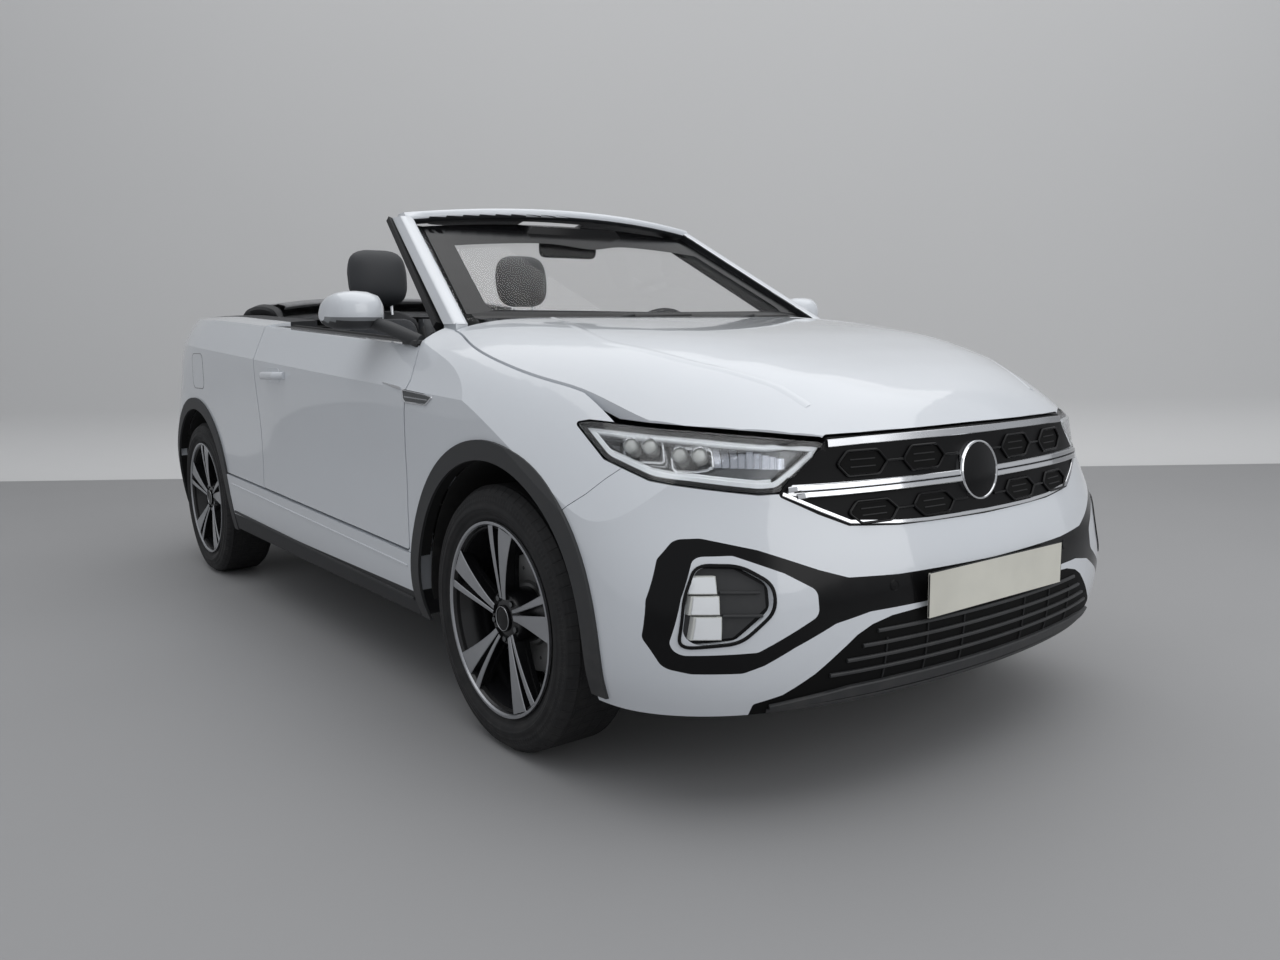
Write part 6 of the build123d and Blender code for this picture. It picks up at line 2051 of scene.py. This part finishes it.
class SUV_OT_flank_trim(bpy.types.Operator):
    """Builds the strips, seals and fuel flap of the flanks and the sills' trim"""

    bl_idname = "suv.flank_trim"
    bl_label = "Flank Trim"

    def execute(self, context):
        build_flank_trim()
        build_sill_trim()
        return {"FINISHED"}


class SUV_OT_mirrors(bpy.types.Operator):
    """Builds the door mirrors"""

    bl_idname = "suv.mirrors"
    bl_label = "Mirrors"

    def execute(self, context):
        build_mirrors()
        return {"FINISHED"}


class SUV_OT_screen_trim(bpy.types.Operator):
    """Builds the pillar seals, wipers, visors, inner mirror and the hood's creases"""

    bl_idname = "suv.screen_trim"
    bl_label = "Screen Trim"

    def execute(self, context):
        for build in (build_pillar_seals, build_screen_border, build_pillar_linings, build_wipers,
                      build_sun_visors, build_inner_mirror, build_hood_creases):
            build()
        return {"FINISHED"}


class SUV_OT_rear_trim(bpy.types.Operator):
    """Builds the details of the rear"""

    bl_idname = "suv.rear_trim"
    bl_label = "Rear Trim"

    def execute(self, context):
        build_rear_trim()
        return {"FINISHED"}


class SUV_OT_front_seats(bpy.types.Operator):
    """Builds both front seats"""

    bl_idname = "suv.front_seats"
    bl_label = "Front Seats"

    def execute(self, context):
        build_front_seats()
        return {"FINISHED"}


class SUV_OT_rear_seat(bpy.types.Operator):
    """Builds the rear bench"""

    bl_idname = "suv.rear_seat"
    bl_label = "Rear Seat"

    def execute(self, context):
        build_rear_seat()
        return {"FINISHED"}


class SUV_OT_dashboard(bpy.types.Operator):
    """Builds the details of the dashboard and the console"""

    bl_idname = "suv.dashboard"
    bl_label = "Dashboard"

    def execute(self, context):
        build_dashboard()
        build_console()
        return {"FINISHED"}


class SUV_OT_steering_wheel(bpy.types.Operator):
    """Builds the steering wheel and its stalks"""

    bl_idname = "suv.steering_wheel"
    bl_label = "Steering Wheel"

    def execute(self, context):
        build_steering_wheel()
        return {"FINISHED"}


class SUV_OT_door_linings(bpy.types.Operator):
    """Builds the inner trim of the doors"""

    bl_idname = "suv.door_linings"
    bl_label = "Door Linings"

    def execute(self, context):
        build_door_linings()
        return {"FINISHED"}


class SUV_OT_folded_roof(bpy.types.Operator):
    """Builds the folded fabric roof with its bows and covers"""

    bl_idname = "suv.folded_roof"
    bl_label = "Folded Roof"

    def execute(self, context):
        build_folded_roof()
        return {"FINISHED"}


class SUV_OT_stage(bpy.types.Operator):
    """Builds the floor, the backdrop, the light and the camera"""

    bl_idname = "suv.stage"
    bl_label = "Stage"

    def execute(self, context):
        build_stage()
        return {"FINISHED"}


OPERATORS = (SUV_OT_finishes, SUV_OT_headlamps, SUV_OT_grille, SUV_OT_lower_front, SUV_OT_wheels,
             SUV_OT_door_handles, SUV_OT_flank_trim, SUV_OT_mirrors, SUV_OT_screen_trim, SUV_OT_rear_trim,
             SUV_OT_front_seats, SUV_OT_rear_seat, SUV_OT_dashboard, SUV_OT_steering_wheel,
             SUV_OT_door_linings, SUV_OT_folded_roof, SUV_OT_stage)


class SUV_PT_build(bpy.types.Panel):
    """Lists the builders and their sizes and colours"""

    bl_idname = "SUV_PT_build"
    bl_label = "Compact SUV"
    bl_space_type = "VIEW_3D"
    bl_region_type = "UI"
    bl_category = "Compact SUV"

    def draw(self, context):
        for operator in OPERATORS:
            self.layout.operator(operator.bl_idname)
        for name, group in GROUPS:
            box = self.layout.box()
            box.label(text=group.__doc__)
            for setting in group.__annotations__:
                box.prop(getattr(context.scene, name), setting)


def register():
    """Registers the properties, the operators and the panel."""
    for name, group in GROUPS:
        bpy.utils.register_class(group)
        setattr(bpy.types.Scene, name, PointerProperty(type=group))
    for operator in OPERATORS:
        bpy.utils.register_class(operator)
    bpy.utils.register_class(SUV_PT_build)


def unregister():
    """Removes the panel, the operators and the properties."""
    bpy.utils.unregister_class(SUV_PT_build)
    for operator in reversed(OPERATORS):
        bpy.utils.unregister_class(operator)
    for name, group in reversed(GROUPS):
        delattr(bpy.types.Scene, name)
        bpy.utils.unregister_class(group)


def main():
    """Registers the add-on and builds everything in order."""
    register()
    bpy.ops.suv.finishes()
    bpy.ops.suv.headlamps()
    bpy.ops.suv.grille()
    bpy.ops.suv.lower_front()
    bpy.ops.suv.wheels()
    bpy.ops.suv.door_handles()
    bpy.ops.suv.flank_trim()
    bpy.ops.suv.mirrors()
    bpy.ops.suv.screen_trim()
    bpy.ops.suv.rear_trim()
    bpy.ops.suv.front_seats()
    bpy.ops.suv.rear_seat()
    bpy.ops.suv.dashboard()
    bpy.ops.suv.steering_wheel()
    bpy.ops.suv.door_linings()
    bpy.ops.suv.folded_roof()
    bpy.ops.suv.stage()
    bpy.context.view_layer.update()


if __name__ == "__main__":
    main()
